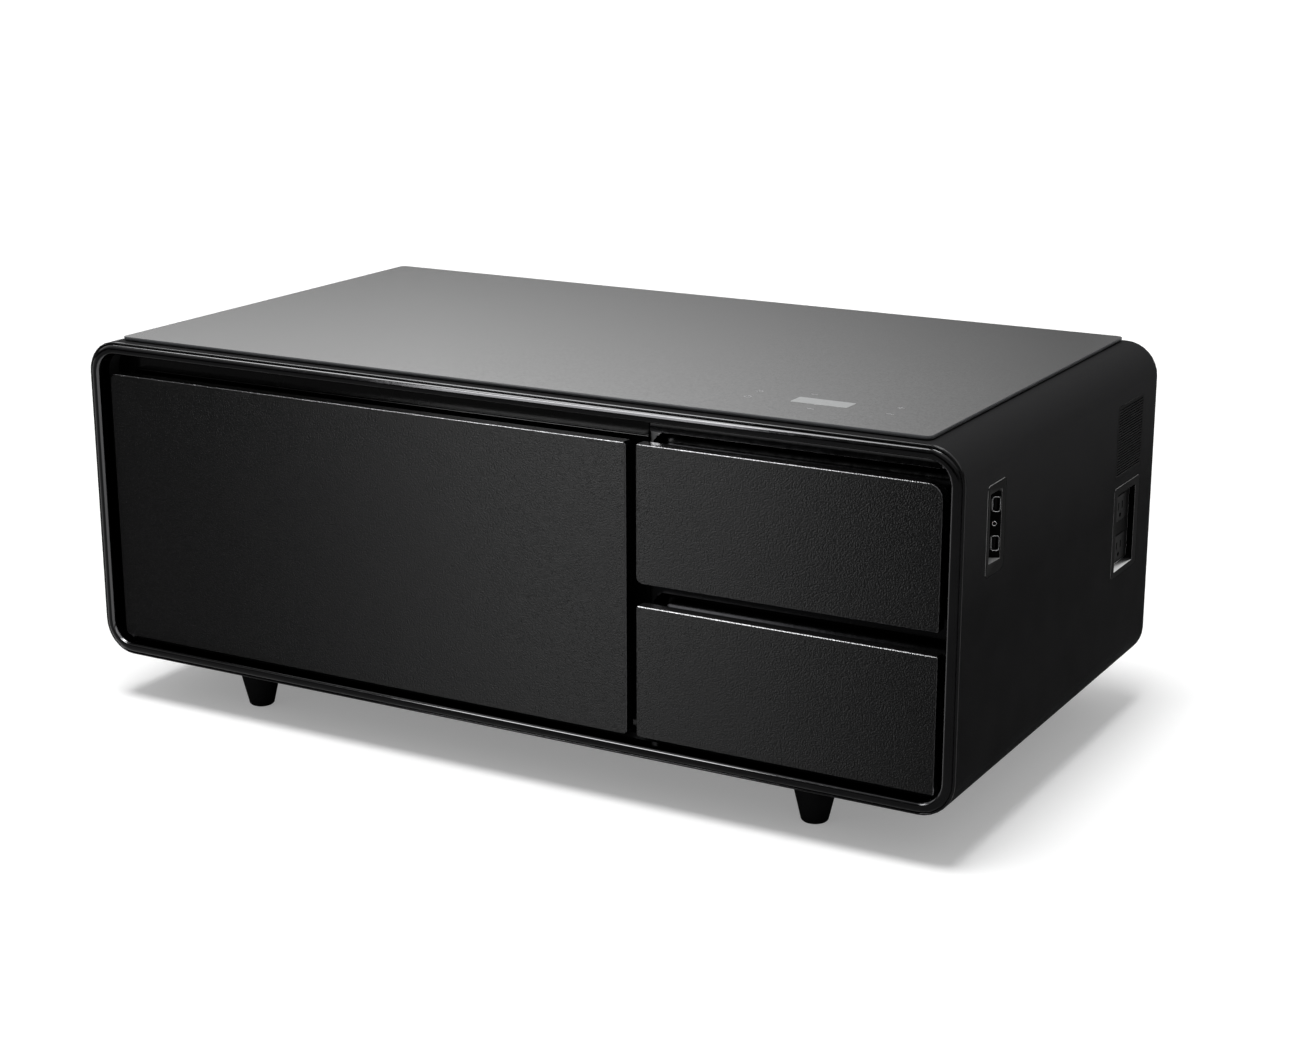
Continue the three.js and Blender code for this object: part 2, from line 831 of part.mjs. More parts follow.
// Pull-out tub with a turned-out rim along its sides and rear
function fridgeTub() {
  const side = slideDepth + 2 * fit;
  const [x0, x1] = [cavity.x0 + side, cavity.x1 - side];
  const [y0, y1] = [coreBack + fit, cavityBack - tubRearGap];
  const [z0, z1] = [cavity.z0 + tubFloorGap, cavity.z1 - tubTopGap];
  const plan = (inset) => roundedRect(
    x0 + inset, x1 - inset, y0 + inset, y1 - inset, tubRadius - inset, roundSteps,
  );
  const rim = roundedRect(x0 - tubRim, x1 + tubRim, y0, y1 + tubRim, tubRadius, roundSteps);
  return cutBy(
    joined(alongZ(plan(0), z0, z1), alongZ(rim, z1 - tubWall, z1)),
    alongZ(plan(tubWall), z0 + tubWall, z1 + overrun),
  );
}

// Roll-bonded plate with raised refrigerant channels
function evaporatorPlate() {
  const [x0, x1] = [cavity.x0 + evaporatorSideGap, cavity.x1 - evaporatorSideGap];
  const [z0, z1] = [cavity.z0 + evaporatorAboveFloor, cavity.z1 - evaporatorTopGap];
  const rear = cavityBack - fit;
  const sheet = block(x0, x1, rear - evaporatorSheet, rear, z0, z1);
  const channels = [];
  for (let z = z0 + evaporatorPitch / 2; z + evaporatorChannel < z1; z += evaporatorPitch) {
    const tube = disc(rear - evaporatorSheet, z, evaporatorChannel, evaporatorSteps);
    channels.push(alongX(tube, x0 + evaporatorPitch, x1 - evaporatorPitch));
  }
  const behind = block(x0, x1, rear, rear + evaporatorPitch, z0, z1);
  return cutBy(joined(sheet, ...channels), behind);
}

// Drawer box, open at the top, with its floor set up from the lower edge
function drawerBox(box) {
  const hollow = (z0, z1) => block(
    drawerBoxLeft + boxWall, drawerBoxRight - boxWall,
    drawerBoxFront + boxWall, drawerBoxRear - boxWall, z0, z1,
  );
  return cutBy(
    block(drawerBoxLeft, drawerBoxRight, drawerBoxFront, drawerBoxRear, box.z0, box.z1),
    hollow(box.z0 + boxFloorRaise + boxFloor, box.z1 + overrun),
    hollow(box.z0 - overrun, box.z0 + boxFloorRaise),
  );
}

// Telescopic slide members: nested channels, the outer two open towards the drawer and the inner one away

function channel(wallX, side, from, to, height, opensToDrawer, rear, z) {
  const near = wallX + side * from;
  const far = wallX + side * to;
  const sheet = side * slideSheet;
  const [webOuter, webInner, tip] = opensToDrawer ? [near, near + sheet, far] : [far, far - sheet, near];
  const [low, high] = [z - height / 2, z + height / 2];
  return alongY(outlineOf([
    [webOuter, low], [tip, low], [tip, low + slideSheet], [webInner, low + slideSheet],
    [webInner, high - slideSheet], [tip, high - slideSheet], [tip, high], [webOuter, high],
  ]), slideFront, rear);
}

function addSlide(name, wallX, side, rear, z) {
  const step = slideSheet + running;
  const members = [
    ['cabinet', fit, slideDepth - slideShort, slideHeight, true],
    ['middle', fit + step, slideDepth - slideMiddleShort, slideHeight - 2 * step, true],
    ['drawer', fit + 2 * step, fit + slideDepth, slideHeight - 4 * step, false],
  ];
  for (const [member, from, to, height, opensToDrawer] of members) {
    const solid = channel(wallX, side, from, to, height, opensToDrawer, rear, z);
    add(`${name}_slide_${member}`, solid, 'zincSteel');
  }
}

// Inserts in the right side

function sideInsert(opening, corners) {
  const body = alongX(sideOutline(opening, corners, -fit), insertInner, half);
  return joined(body, alongX(sideOutline(opening, corners, insertFlange), insertInner, insertFlangeFace));
}

// The pocket's rear face slopes out to the right side, and carries the ports
const usbPocket = {
  y0: usbOpening.y0 + usbPocketFront, y1: usbOpening.y1 - usbPocketRear,
  z0: usbOpening.z0 + usbPocketBottom, z1: usbOpening.z1 - usbPocketTop,
};
const portLevels = [usbPocket.z1 - upperPortDrop, usbPocket.z0 + lowerPortRaise];

// Moves a solid that was drawn at the origin, facing right, to the sloping face
function onPortFace(solid, z) {
  const x = half - portFromEdge * Math.cos(portTurn);
  const y = usbPocket.y1 - portFromEdge * Math.sin(portTurn);
  return solid.rotate([0, 0, THREE.MathUtils.radToDeg(portTurn - quarter)]).translate([x, y, z]);
}

function portOutline(margin) {
  const [y, z] = [portWidth / 2 + margin, portHeight / 2 + margin];
  return roundedRect(-y, y, -z, z, portRadius + margin, smallSteps);
}

// Panel with a wedge-shaped pocket and a blind hole for each port
function usbPanel() {
  const { y0, y1, z0, z1 } = usbPocket;
  const wedge = alongZ(outlineOf([
    [half, y0], [half + overrun, y0], [half + overrun, y1], [half, y1],
    [half - usbPocketDepth, y1 - usbPocketDepth * Math.tan(portTurn)],
  ]), z0, z1);
  const hole = alongX(portOutline(fit), portProud - portBodyDepth - fit, overrun);
  const holes = portLevels.map((z) => onPortFace(hole, z));
  return cutBy(sideInsert(usbOpening, usbCorners), wedge, ...holes);
}

// Port shell with its slot and contact tongue
function usbPort(z) {
  const rear = portProud - portBodyDepth;
  const slotFloor = portProud - portSlotDepth;
  const [slotSide, slotEnd] = [portSlotWidth / 2, portSlotHeight / 2];
  const tongueSide = portTongueInset - slotSide;
  const tongueEnd = slotEnd - portTongueInset;
  const shell = alongX(portOutline(0), rear, portProud);
  const slot = block(slotFloor, portProud + overrun, -slotSide, slotSide, -slotEnd, slotEnd);
  const tongue = block(
    (rear + slotFloor) / 2, portProud - portTongueInset,
    tongueSide, tongueSide + portTongueWidth, -tongueEnd, tongueEnd,
  );
  return onPortFace(joined(cutBy(shell, slot), tongue), z);
}

// Slatted plate, thinner than the wall between its slats
function sideGrille() {
  const { y0, y1, z0, z1 } = grilleOpening;
  const [window0, window1] = [y0 + grilleBorder, y1 - grilleBorder];
  const cuts = [alongX(
    roundedRect(window0, window1, z0 + grilleBorder, z1 - grilleBorder, serviceCorner, smallSteps),
    insertInner - overrun, half - grilleDepth,
  )];
  for (let z = z0 + grilleBorder + grillePitch / 2; z + grilleSlot < z1 - grilleBorder; z += grillePitch) {
    cuts.push(block(half - grilleDepth - overrun, half + overrun, window0, window1, z, z + grilleSlot));
  }
  return cutBy(sideInsert(grilleOpening, serviceCorners), ...cuts);
}

// Frame of the fan, seated behind the grille, with struts that carry the hub and its shaft
function fanCentre() {
  return {
    y: (grilleOpening.y0 + grilleOpening.y1) / 2,
    z: (grilleOpening.z0 + grilleOpening.z1) / 2,
    outer: insertInner - fit,
  };
}

function fanBore() {
  return grilleHeight / 2 - fanWall;
}

function fanShroud() {
  const { y, z, outer } = fanCentre();
  const inner = outer - fanThickness;
  const size = grilleHeight / 2;
  const frameOutline = roundedRect(y - size, y + size, z - size, z + size, serviceCorner, smallSteps);
  const frame = alongX(frameOutline, inner, outer);
  const bore = alongX(disc(y, z, fanBore(), fanSteps), inner - overrun, outer + overrun);
  const strutEnd = size - fanWall / 2;
  const struts = [
    block(inner, inner + fanHubDepth, y - strutEnd, y + strutEnd, z - fanStrut / 2, z + fanStrut / 2),
    block(inner, inner + fanHubDepth, y - fanStrut / 2, y + fanStrut / 2, z - strutEnd, z + strutEnd),
  ];
  const hub = alongX(disc(y, z, fanHubRadius, fanSteps), inner, inner + fanHubDepth);
  const shaft = alongX(disc(y, z, fanShaftRadius, pinSteps), inner, inner + fanHubDepth + fanShaftLength);
  return joined(cutBy(frame, bore), hub, shaft, ...struts);
}

// Rotor with twisted blades, bored for the shaft
function fanRotor() {
  const { y, z, outer } = fanCentre();
  const inner = outer - fanThickness + fanHubDepth + fit;
  const hub = alongX(disc(y, z, fanHubRadius, fanSteps), inner, inner + fanRotorDepth);
  const bore = alongX(disc(y, z, fanShaftRadius + fit, pinSteps), inner - overrun, inner + fanBoreLength);
  const root = fanHubRadius - fanBladeRoot;
  const tip = fanBore() - fanTipGap;
  const blades = [];
  for (let i = 0; i < fanBlades; i += 1) {
    const blade = new THREE.BoxGeometry(fanBladeThickness, tip - root, fanBladeDepth, 1, 3, 1);
    const place = new THREE.Matrix4()
      .makeRotationX((2 * Math.PI * i) / fanBlades)
      .multiply(new THREE.Matrix4().makeTranslation(0, (root + tip) / 2, 0))
      .multiply(new THREE.Matrix4().makeRotationY(fanBladeTwist));
    blade.applyMatrix4(place);
    blades.push(solidOf(blade.translate(inner + fanRotorDepth / 2, y, z)));
  }
  return cutBy(joined(hub, ...blades), bore);
}

const niche = {
  y0: outletOpening.y0 + nicheFront, y1: outletOpening.y1 - nicheRear,
  z0: outletOpening.z0 + nicheBottom, z1: outletOpening.z1 - nicheTop, floor: half - nicheDepth,
};
const nicheMiddle = { y: (niche.y0 + niche.y1) / 2, z: (niche.z0 + niche.z1) / 2 };
const socketLevels = [nicheMiddle.z + socketSpacing / 2, nicheMiddle.z - socketSpacing / 2];

function socketOutline(z, margin) {
  const { y } = nicheMiddle;
  return roundedRect(
    y - socketWidth / 2 - margin, y + socketWidth / 2 + margin,
    z - socketHeight / 2 - margin, z + socketHeight / 2 + margin, socketRadius + margin, smallSteps,
  );
}

// Niche with a ramp at its lower end and a hole for each outlet
function outletPocket() {
  const { y0, y1, z0, z1, floor } = niche;
  const recess = alongX(
    roundedRect(y0, y1, z0 + nicheRamp, z1, nicheCorner, smallSteps), floor, half + overrun,
  );
  const slope = nicheRamp / nicheDepth;
  const ramp = alongY(
    outlineOf([
      [floor, z0 + nicheRamp], [half + overrun, z0 - overrun * slope],
      [half + overrun, z1 - nicheCorner], [floor, z1 - nicheCorner],
    ]),
    y0, y1,
  );
  const holes = socketLevels.map((z) => alongX(socketOutline(z, fit), insertInner - overrun, half));
  return cutBy(sideInsert(outletOpening, serviceCorners), recess, ramp, ...holes);
}

// Outlet with two blade slots and a round earth hole
function outlet(z) {
  const { y } = nicheMiddle;
  const face = niche.floor + socketProud;
  const slotFloor = face - socketSlotDepth;
  const slots = [-1, 1].map((side) => {
    const middle = y + side * (bladeSlotSpacing / 2);
    return block(
      slotFloor, face + overrun, middle - bladeSlotWidth / 2, middle + bladeSlotWidth / 2,
      z + groundRadius - bladeSlotHeight / 2, z + groundRadius + bladeSlotHeight / 2,
    );
  });
  const ground = alongX(
    disc(y, z + groundRadius - groundDrop, groundRadius, pinSteps), slotFloor, face + overrun,
  );
  return cutBy(alongX(socketOutline(z, 0), face - socketProud - socketBody, face), ...slots, ground);
}

// Machine bay

// Hermetic shell with domed ends on a plate with four rubber feet
function compressor() {
  const x = dividerRight + compressorFromSide;
  const y = backPanelFront - compressorFromRear;
  const floor = insideBottom;
  const plateBottom = floor + compressorFoot;
  const plateTop = plateBottom + compressorPlate;
  const body = [[0, plateBottom]];
  for (let i = 0; i <= roundSteps; i += 1) {
    const angle = quarter * (i / roundSteps);
    body.push([
      compressorBowlRadius + (compressorRadius - compressorBowlRadius) * Math.sin(angle),
      plateBottom + compressorBowl * (1 - Math.cos(angle)),
    ]);
  }
  for (let i = 0; i <= roundSteps; i += 1) {
    const angle = quarter * (i / roundSteps);
    body.push([
      compressorRadius * Math.cos(angle), floor + compressorHeight - compressorDome * (1 - Math.sin(angle)),
    ]);
  }
  const [dx, dy] = [compressorPlateWidth / 2, compressorPlateDepth / 2];
  const feet = [];
  for (const sx of [-1, 1]) {
    for (const sy of [-1, 1]) {
      const [footX, footY] = [x + sx * (dx - compressorFootInset), y + sy * (dy - compressorFootInset)];
      feet.push(turned([
        [0, floor], [compressorFootRadius, floor], [compressorFootTop, plateTop], [0, plateTop],
      ], footX, footY, compressorFootSteps));
    }
  }
  const plateOutline = roundedRect(x - dx, x + dx, y - dy, y + dy, compressorFootRadius, smallSteps);
  return joined(turned(body, x, y, compressorSteps), alongZ(plateOutline, plateBottom, plateTop), ...feet);
}

function condenserBox() {
  return {
    x0: dividerRight + condenserFromSide, x1: inletBox(0).x0 - condenserInletGap,
    z0: insideBottom + condenserRaise, z1: insideBottom + condenserRaise + condenserHeight,
  };
}

// Finned block seated on the back panel
function condenser() {
  const { x0, x1, z0, z1 } = condenserBox();
  const y1 = backPanelFront - fit;
  const y0 = y1 - condenserDepth;
  const gaps = [];
  const lastFin = x1 - condenserFinPitch / 2;
  for (let x = x0 + condenserFinPitch; x + condenserFinGap < lastFin; x += condenserFinPitch) {
    gaps.push(block(
      x, x + condenserFinGap, y0 - overrun, y0 + condenserFinDepth, z0 - overrun, z1 + overrun,
    ));
  }
  return cutBy(block(x0, x1, y0, y1, z0, z1), ...gaps);
}

// Assembly

add('cabinet_shell', cabinetShell(), 'satinBlack');
add('front_bezel', frontBezel(), 'glossBlack');
add('back_panel', backPanel(), 'mattBlack');
add('center_divider', centerDivider(), 'board');
add('bay_side_panel', baySidePanel(), 'board');
add('machine_partition', machinePartition(), 'board');
add('fridge_fascia', fridgeFascia(), 'glossBlack');
add('drawer_fascia', drawerFascia(), 'mattBlack');
add('glass_spacer', glassSpacer(), 'rubberBlack');
add('glass_top', glassTop(), 'smokedGlass');
add('touch_module', touchModule(), 'mattBlack');

for (const [side, x] of [['left', -half + legInsetSide], ['right', half - legInsetSide]]) {
  for (const [end, y] of [['front', frontPlane + legInsetFront], ['rear', backPlane - legInsetFront]]) {
    add(`leg_${end}_${side}`, leg(x, y), 'satinBlack');
    add(`foot_pad_${end}_${side}`, footPad(x, y), 'rubberBlack');
  }
}

add('fridge_cabinet', fridgeCabinet(), 'foamGrey');
add('evaporator_plate', evaporatorPlate(), 'aluminium');
const fridgeCorners = [roundCorner, softCorner, softCorner, roundCorner];
add('fridge_front', frontPanel(fridgeFront, fridgeCorners), 'textureBlack');
add('fridge_door_core', fridgeDoorCore(), 'foamGrey');
add('fridge_gasket', fridgeGasket(), 'rubberBlack');
add('fridge_tub', fridgeTub(), 'linerWhite');

const upperCorners = [roundCorner, squareCorner, outerCorner, squareCorner];
add('upper_drawer_front', frontPanel(upperFront, upperCorners), 'textureBlack');
add('upper_drawer_box', drawerBox(upperBox), 'board');
add('lower_drawer_front', frontPanel(lowerFront, squareCorner), 'textureBlack');
add('lower_drawer_box', drawerBox(lowerBox), 'board');

const fridgeSlideLevel = cavity.z0 + fridgeSlideRaise;
addSlide('fridge_left', cavity.x0, 1, fridgeSlideRear, fridgeSlideLevel);
addSlide('fridge_right', cavity.x1, -1, fridgeSlideRear, fridgeSlideLevel);
for (const [name, box] of [['upper', upperBox], ['lower', lowerBox]]) {
  const level = (box.z0 + box.z1) / 2;
  addSlide(`${name}_left`, dividerRight, 1, drawerSlideRear, level);
  addSlide(`${name}_right`, bayPanelLeft, -1, drawerSlideRear, level);
}

const [upperPort, lowerPort] = portLevels;
add('usb_panel', usbPanel(), 'mattBlack');
add('usb_port_upper', usbPort(upperPort), 'chrome');
add('usb_port_lower', usbPort(lowerPort), 'chrome');
add('side_grille', sideGrille(), 'mattBlack');
add('fan_shroud', fanShroud(), 'mattBlack');
add('fan_rotor', fanRotor(), 'mattBlack');
const [upperSocket, lowerSocket] = socketLevels;
add('outlet_pocket', outletPocket(), 'mattBlack');
add('upper_outlet', outlet(upperSocket), 'mattBlack');
add('lower_outlet', outlet(lowerSocket), 'mattBlack');

add('compressor', compressor(), 'machineBlack');
add('condenser', condenser(), 'aluminium');
add('power_inlet', powerInlet(), 'mattBlack');

export default table;
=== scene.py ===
"""Looks of the refrigerator coffee table: materials, eased edges, small fittings, floor, light and camera.

Metres, +X to the right, +Y to the back, +Z up, origin on the floor under the middle of the body.
"""

import json
import math

import bmesh
import bpy
from mathutils import Matrix, Vector

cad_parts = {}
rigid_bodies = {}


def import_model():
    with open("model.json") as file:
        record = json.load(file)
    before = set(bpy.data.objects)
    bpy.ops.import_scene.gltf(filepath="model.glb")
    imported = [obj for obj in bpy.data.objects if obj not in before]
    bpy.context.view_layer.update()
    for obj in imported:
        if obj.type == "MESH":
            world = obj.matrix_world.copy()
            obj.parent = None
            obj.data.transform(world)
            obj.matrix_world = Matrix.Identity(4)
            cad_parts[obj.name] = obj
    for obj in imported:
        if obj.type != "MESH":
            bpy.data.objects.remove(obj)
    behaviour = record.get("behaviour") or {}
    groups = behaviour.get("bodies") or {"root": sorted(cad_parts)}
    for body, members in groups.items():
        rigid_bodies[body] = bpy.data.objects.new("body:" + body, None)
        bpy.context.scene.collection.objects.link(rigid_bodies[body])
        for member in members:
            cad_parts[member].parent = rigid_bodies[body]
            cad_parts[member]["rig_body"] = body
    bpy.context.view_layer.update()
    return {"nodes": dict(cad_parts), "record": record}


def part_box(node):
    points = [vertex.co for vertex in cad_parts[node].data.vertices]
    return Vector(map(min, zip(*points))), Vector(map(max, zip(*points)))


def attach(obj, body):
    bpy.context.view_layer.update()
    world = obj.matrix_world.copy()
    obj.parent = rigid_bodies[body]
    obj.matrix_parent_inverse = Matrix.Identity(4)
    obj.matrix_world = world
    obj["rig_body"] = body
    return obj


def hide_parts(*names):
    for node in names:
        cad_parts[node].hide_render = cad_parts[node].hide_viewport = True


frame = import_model()
nodes = frame["nodes"]

MM = 0.001

# Turn of what is drawn on the XY plane, so that it faces the back
TO_THE_BACK = Matrix.Rotation(-math.pi / 2, 4, "X")

# Directions that a surface can face
UPWARD = (0.0, 0.0, 1.0)
FRONTWARD = (0.0, -1.0, 0.0)
RIGHTWARD = (1.0, 0.0, 0.0)
UP_AND_RIGHT = (math.sqrt(0.5), 0.0, math.sqrt(0.5))
FRONT_AND_RIGHT = (math.sqrt(0.5), -math.sqrt(0.5), 0.0)

# Camera
CAMERA_PLACE = (1.3794, -2.3611, 0.9877)
CAMERA_AZIMUTH = math.radians(29.681)
CAMERA_PITCH = math.radians(15.707)
CAMERA_ROLL = math.radians(-0.119)
CAMERA_LENS = 66.886
CAMERA_SENSOR = 36.0

# Even light, and the white behind the object
AMBIENT = 0.35
BACKGROUND_WHITE = 1.0

# Room that shows in reflections: how far up a direction points and how bright it is, low and high, and the
# middle, half width and brightness of its dark corner
ROOM_LOW = (0.145, 0.12)
ROOM_HIGH = (0.24, 1.8)
ROOM_DARK_SIDE = -0.32
ROOM_DARK_WIDTH = 0.24
ROOM_DARK_SHARE = 0.3

# Key light
SUN_LEVEL = 2.3
SUN_ANGLE = math.radians(22)
SUN_DIRECTION = (0.03, 0.2, -1.0)

# Soft lamps: place, the point that they face, size and power
STRIP = ((-1.27, -2.35, 1.52), (-1.27, -0.28, 0.7), (0.86, 1.5), 245)
OVERHEAD = ((-0.9, -0.85, 2.0), (-0.1, -0.28, 0.42), (2.0, 0.8), 120)

# Floor
FLOOR_COLOR = (0.82, 0.82, 0.82, 1.0)
FLOOR_LIFT = 0.26
FLOOR_SIZE = 60.0

# Levels between which painted light changes: the shell's painted light grows toward the top, the drawers'
# frame takes on the painted reflection of its upper lip, and the front frame leaves the painted shade of
# its sill
SHELL_PAINTED_LIGHT_LEVELS = (270 * MM, 420 * MM)
LIP_PAINTED_REFLECTION_LEVELS = (375 * MM, 385 * MM)
SILL_PAINTED_SHADE_LEVELS = (90 * MM, 100 * MM)

# How far a surface has turned to a direction, as a cosine, where a tone begins and where it is full
# All but the two face turns place painted light: painted highlights, painted reflections and painted shade,
# set by which way a surface faces
SHOULDER_PAINTED_LIGHT_TURN = (0.1, 0.9)
FRONT_FACE_TURN = (0.9, 0.95)
SLOPE_PAINTED_SHADE_TURN = (0.06, 0.14)
CREST_PAINTED_HIGHLIGHT_TURN = (0.4, 0.48)
SILL_PAINTED_SHADE_TURN = (0.5, 0.56)
INNER_PAINTED_HIGHLIGHT_TURN = (-0.5, -0.2)
OUTER_PAINTED_SHADE_TURN = (0.3, 0.6)
POCKET_PAINTED_SHADE_TURN = (0.1, 0.4)
LIP_PAINTED_REFLECTION_TURN = (0.99, 0.998)
INSERT_FACE_TURN = (0.9, 0.95)
INSERT_PAINTED_LEDGE_TURN = (0.9, 0.95)
INSERT_TOP_HIGHLIGHT_TURN = (0.8, 0.9)
INSERT_FRONT_HIGHLIGHT_TURN = (0.965, 0.9825)

# Grain of each surface: its width and its depth
SHELL_GRAIN = (1.4 * MM, 0.05 * MM)
GLOSS_GRAIN = (5 * MM, 0.003 * MM)
MATT_GRAIN = (0.9 * MM, 0.03 * MM)
FINE_GRAIN = (0.9 * MM, 0.01 * MM)
PEBBLE_GRAIN = (1.5 * MM, -0.26 * MM)
RUBBER_GRAIN = (0.7 * MM, 0.03 * MM)
GLASS_GRAIN = (2.4 * MM, 0.02 * MM)
GLASS_EDGE_GRAIN = (1 * MM, 0.004 * MM)
PRINT_GRAIN = (0.5 * MM, 0.002 * MM)
FIBRE_GRAIN = (2.2 * MM, 0.04 * MM)
LINER_GRAIN = (3 * MM, 0.01 * MM)
ZINC_GRAIN = (0.6 * MM, 0.008 * MM)
ALUMINIUM_GRAIN = (0.5 * MM, 0.01 * MM)
CHROME_GRAIN = (0.8 * MM, 0.002 * MM)
GOLD_GRAIN = (0.6 * MM, 0.002 * MM)
MACHINE_GRAIN = (2.5 * MM, 0.03 * MM)

# Widths of what has no depth: slow changes of tone, the roughness of the fronts, and the display's dots
DRIFT_WIDTH = 60 * MM
FRONT_DRIFT_WIDTH = 45 * MM
FRONT_SHEEN_WIDTH = 0.7 * MM
GLASS_CLOUD_WIDTH = 220 * MM
DISPLAY_HAZE_WIDTH = 12 * MM
DISPLAY_DOT_WIDTH = 0.6 * MM

# How much a grain is stretched along each axis
ALONG_FIBRE = (1.0, 0.06, 1.0)
ALONG_SLIDE = (1.0, 0.08, 1.0)
ALONG_PLATE = (0.08, 1.0, 1.0)

# Easing of edges
FLAT_ANGLE = math.radians(0.5)
SHARP_ANGLE = math.radians(32)
WELD = 1e-6
BOARD_EASE = 0.6 * MM
MOULDED_EASE = 0.5 * MM
SMALL_EASE = 0.4 * MM
THIN_EASE = 0.3 * MM
LOUVRE_EASE = 0.25 * MM
PORT_EASE = 0.2 * MM
TONGUE_EASE = 0.1 * MM
TUB_EASE = 0.8 * MM
CABINET_EASE = 1.0 * MM
CORE_EASE = 1.2 * MM

# Steps of round stretches
ARC_STEPS = 8
BAND_STEPS = 24
ROUND_POINTS = 24
LENS_POINTS = 16

# Display and touch signs: their depth in the glass, and their places from the middle of the touch module
GLASS_SINK = 0.12 * MM
PRINT_FOOT = 2 * GLASS_SINK
DISPLAY_DROP = GLASS_SINK / 3
SIGN_DROP = GLASS_SINK / 2
DISPLAY = (-34 * MM, 30 * MM, -14 * MM, 10 * MM)
DISPLAY_CORNER = 1.5 * MM
SIGN_STROKE = 0.45 * MM
SIGN_RADIUS = 3.6 * MM
SWITCH_SIGN = (-82 * MM, -15 * MM)
SWITCH_RING = (math.radians(120), math.radians(420))
SWITCH_BAR = (SIGN_RADIUS / 2, 1.4 * SIGN_RADIUS)
COLD_SIGN = (-83 * MM, 14 * MM)
COLD_REACH = 1.2 * SIGN_RADIUS
MINUS_SIGN = (79 * MM, -17 * MM)
PLUS_SIGN = (78 * MM, 13 * MM)
DASH_SIGNS = ((-26 * MM, 28 * MM), (-1 * MM, -34 * MM))

# Port face of the USB panel: its outer rear edge, its turn, and what sits on it
PORT_EDGE = (550 * MM, -190 * MM)
PORT_TURN = 0.49
PORT_LEVELS = (362.6 * MM, 322.3 * MM)
TONGUE_SIDES = (-7.2 * MM, -5.2 * MM)
TONGUE_REACH = 5.6 * MM
TONGUE_DEPTHS = (-9.0 * MM, -0.15 * MM)
TONGUE_CORNER = 0.3 * MM
CONTACT_LEVELS = (-3.5 * MM, -1.0 * MM, 1.0 * MM, 3.5 * MM)
CONTACT_WIDTH = 0.9 * MM
CONTACT_PROUD = 0.06 * MM
CONTACT_SETBACK = 1.2 * MM
PORT_MIDDLE = -5.3 * MM
PORT_HALF = (4.0 * MM, 7.7 * MM)
PORT_ROUND = 2.6 * MM
PORT_FACE = 0.5 * MM
RIM_WIDTH = 0.3 * MM
RIM_PROUD = 0.12 * MM
INDICATOR = (-6.7 * MM, 342.5 * MM)
INDICATOR_RADIUS = 2.1 * MM
INDICATOR_TUBE = 0.25 * MM

# Screws of the back panel and of the drawer fronts
SCREW_RADIUS = 3.6 * MM
SCREW_HEIGHT = 1.6 * MM
SCREW_SLOT = 0.55 * MM
SCREW_REACH = 2.1 * MM
SCREW_RIM = 0.35 * SCREW_HEIGHT
SCREW_FLOOR = 0.3 * SCREW_HEIGHT
SCREW_CROWN = 0.72 * SCREW_RADIUS
BACK_SCREW_COLUMNS = 4
BACK_SCREW_INSET = 22 * MM
FRONT_SCREW_INSET = 40 * MM
FRONT_SCREW_LEVEL = 46 * MM
BOX_WALL = 12 * MM

# Pins of the mains inlet
INLET_PINS = ((-7 * MM, -1.5 * MM), (0.0, 3.0 * MM), (7 * MM, -1.5 * MM))
PIN_WIDTH = 2 * MM
PIN_HEIGHT = 4 * MM
PIN_LENGTH = 13 * MM
PIN_CORNER = PIN_WIDTH / 5
PIN_EASE = PIN_WIDTH / 4
PIN_FOOT = 16 * MM


# Node helpers


def new_material(name):
    material = bpy.data.materials.new(name)
    material.use_nodes = True
    tree = material.node_tree
    return material, tree, tree.nodes["Principled BSDF"]


def position(tree, stretch=(1.0, 1.0, 1.0)):
    """Place on the piece in metres, stretched along its axes."""
    coordinates = tree.nodes.new("ShaderNodeTexCoord")
    mapping = tree.nodes.new("ShaderNodeMapping")
    mapping.inputs["Scale"].default_value = stretch
    tree.links.new(coordinates.outputs["Object"], mapping.inputs["Vector"])
    return mapping.outputs["Vector"]


def height(tree):
    """Level of the place on the piece, in metres."""
    parts = tree.nodes.new("ShaderNodeSeparateXYZ")
    tree.links.new(position(tree), parts.inputs["Vector"])
    return parts.outputs["Z"]


def noise(tree, size, detail=2.0, stretch=(1.0, 1.0, 1.0)):
    """Noise whose grains are about as wide as size, in metres."""
    node = tree.nodes.new("ShaderNodeTexNoise")
    node.inputs["Scale"].default_value = 1 / size
    node.inputs["Detail"].default_value = detail
    tree.links.new(position(tree, stretch), node.inputs["Vector"])
    return node.outputs["Fac"]


def pebbles(tree, size):
    """Rounded cells about as wide as size, low along their seams."""
    node = tree.nodes.new("ShaderNodeTexVoronoi")
    node.feature = "SMOOTH_F1"
    node.inputs["Scale"].default_value = 1 / size
    tree.links.new(position(tree), node.inputs["Vector"])
    return node.outputs["Distance"]


def ranged(tree, value, low, high, start=0.3, end=0.7):
    """From low to high while a value goes from start to end, and level beyond them."""
    node = tree.nodes.new("ShaderNodeMapRange")
    node.inputs["From Min"].default_value = start
    node.inputs["From Max"].default_value = end
    node.inputs["To Min"].default_value = low
    node.inputs["To Max"].default_value = high
    tree.links.new(value, node.inputs["Value"])
    return node.outputs["Result"]


def computed(tree, operation, *values):
    """Sum on numbers, each given as a value or as a socket."""
    node = tree.nodes.new("ShaderNodeMath")
    node.operation = operation
    for socket, value in zip(node.inputs, values):
        if isinstance(value, bpy.types.NodeSocket):
            tree.links.new(value, socket)
        else:
            socket.default_value = value
    return node.outputs["Value"]


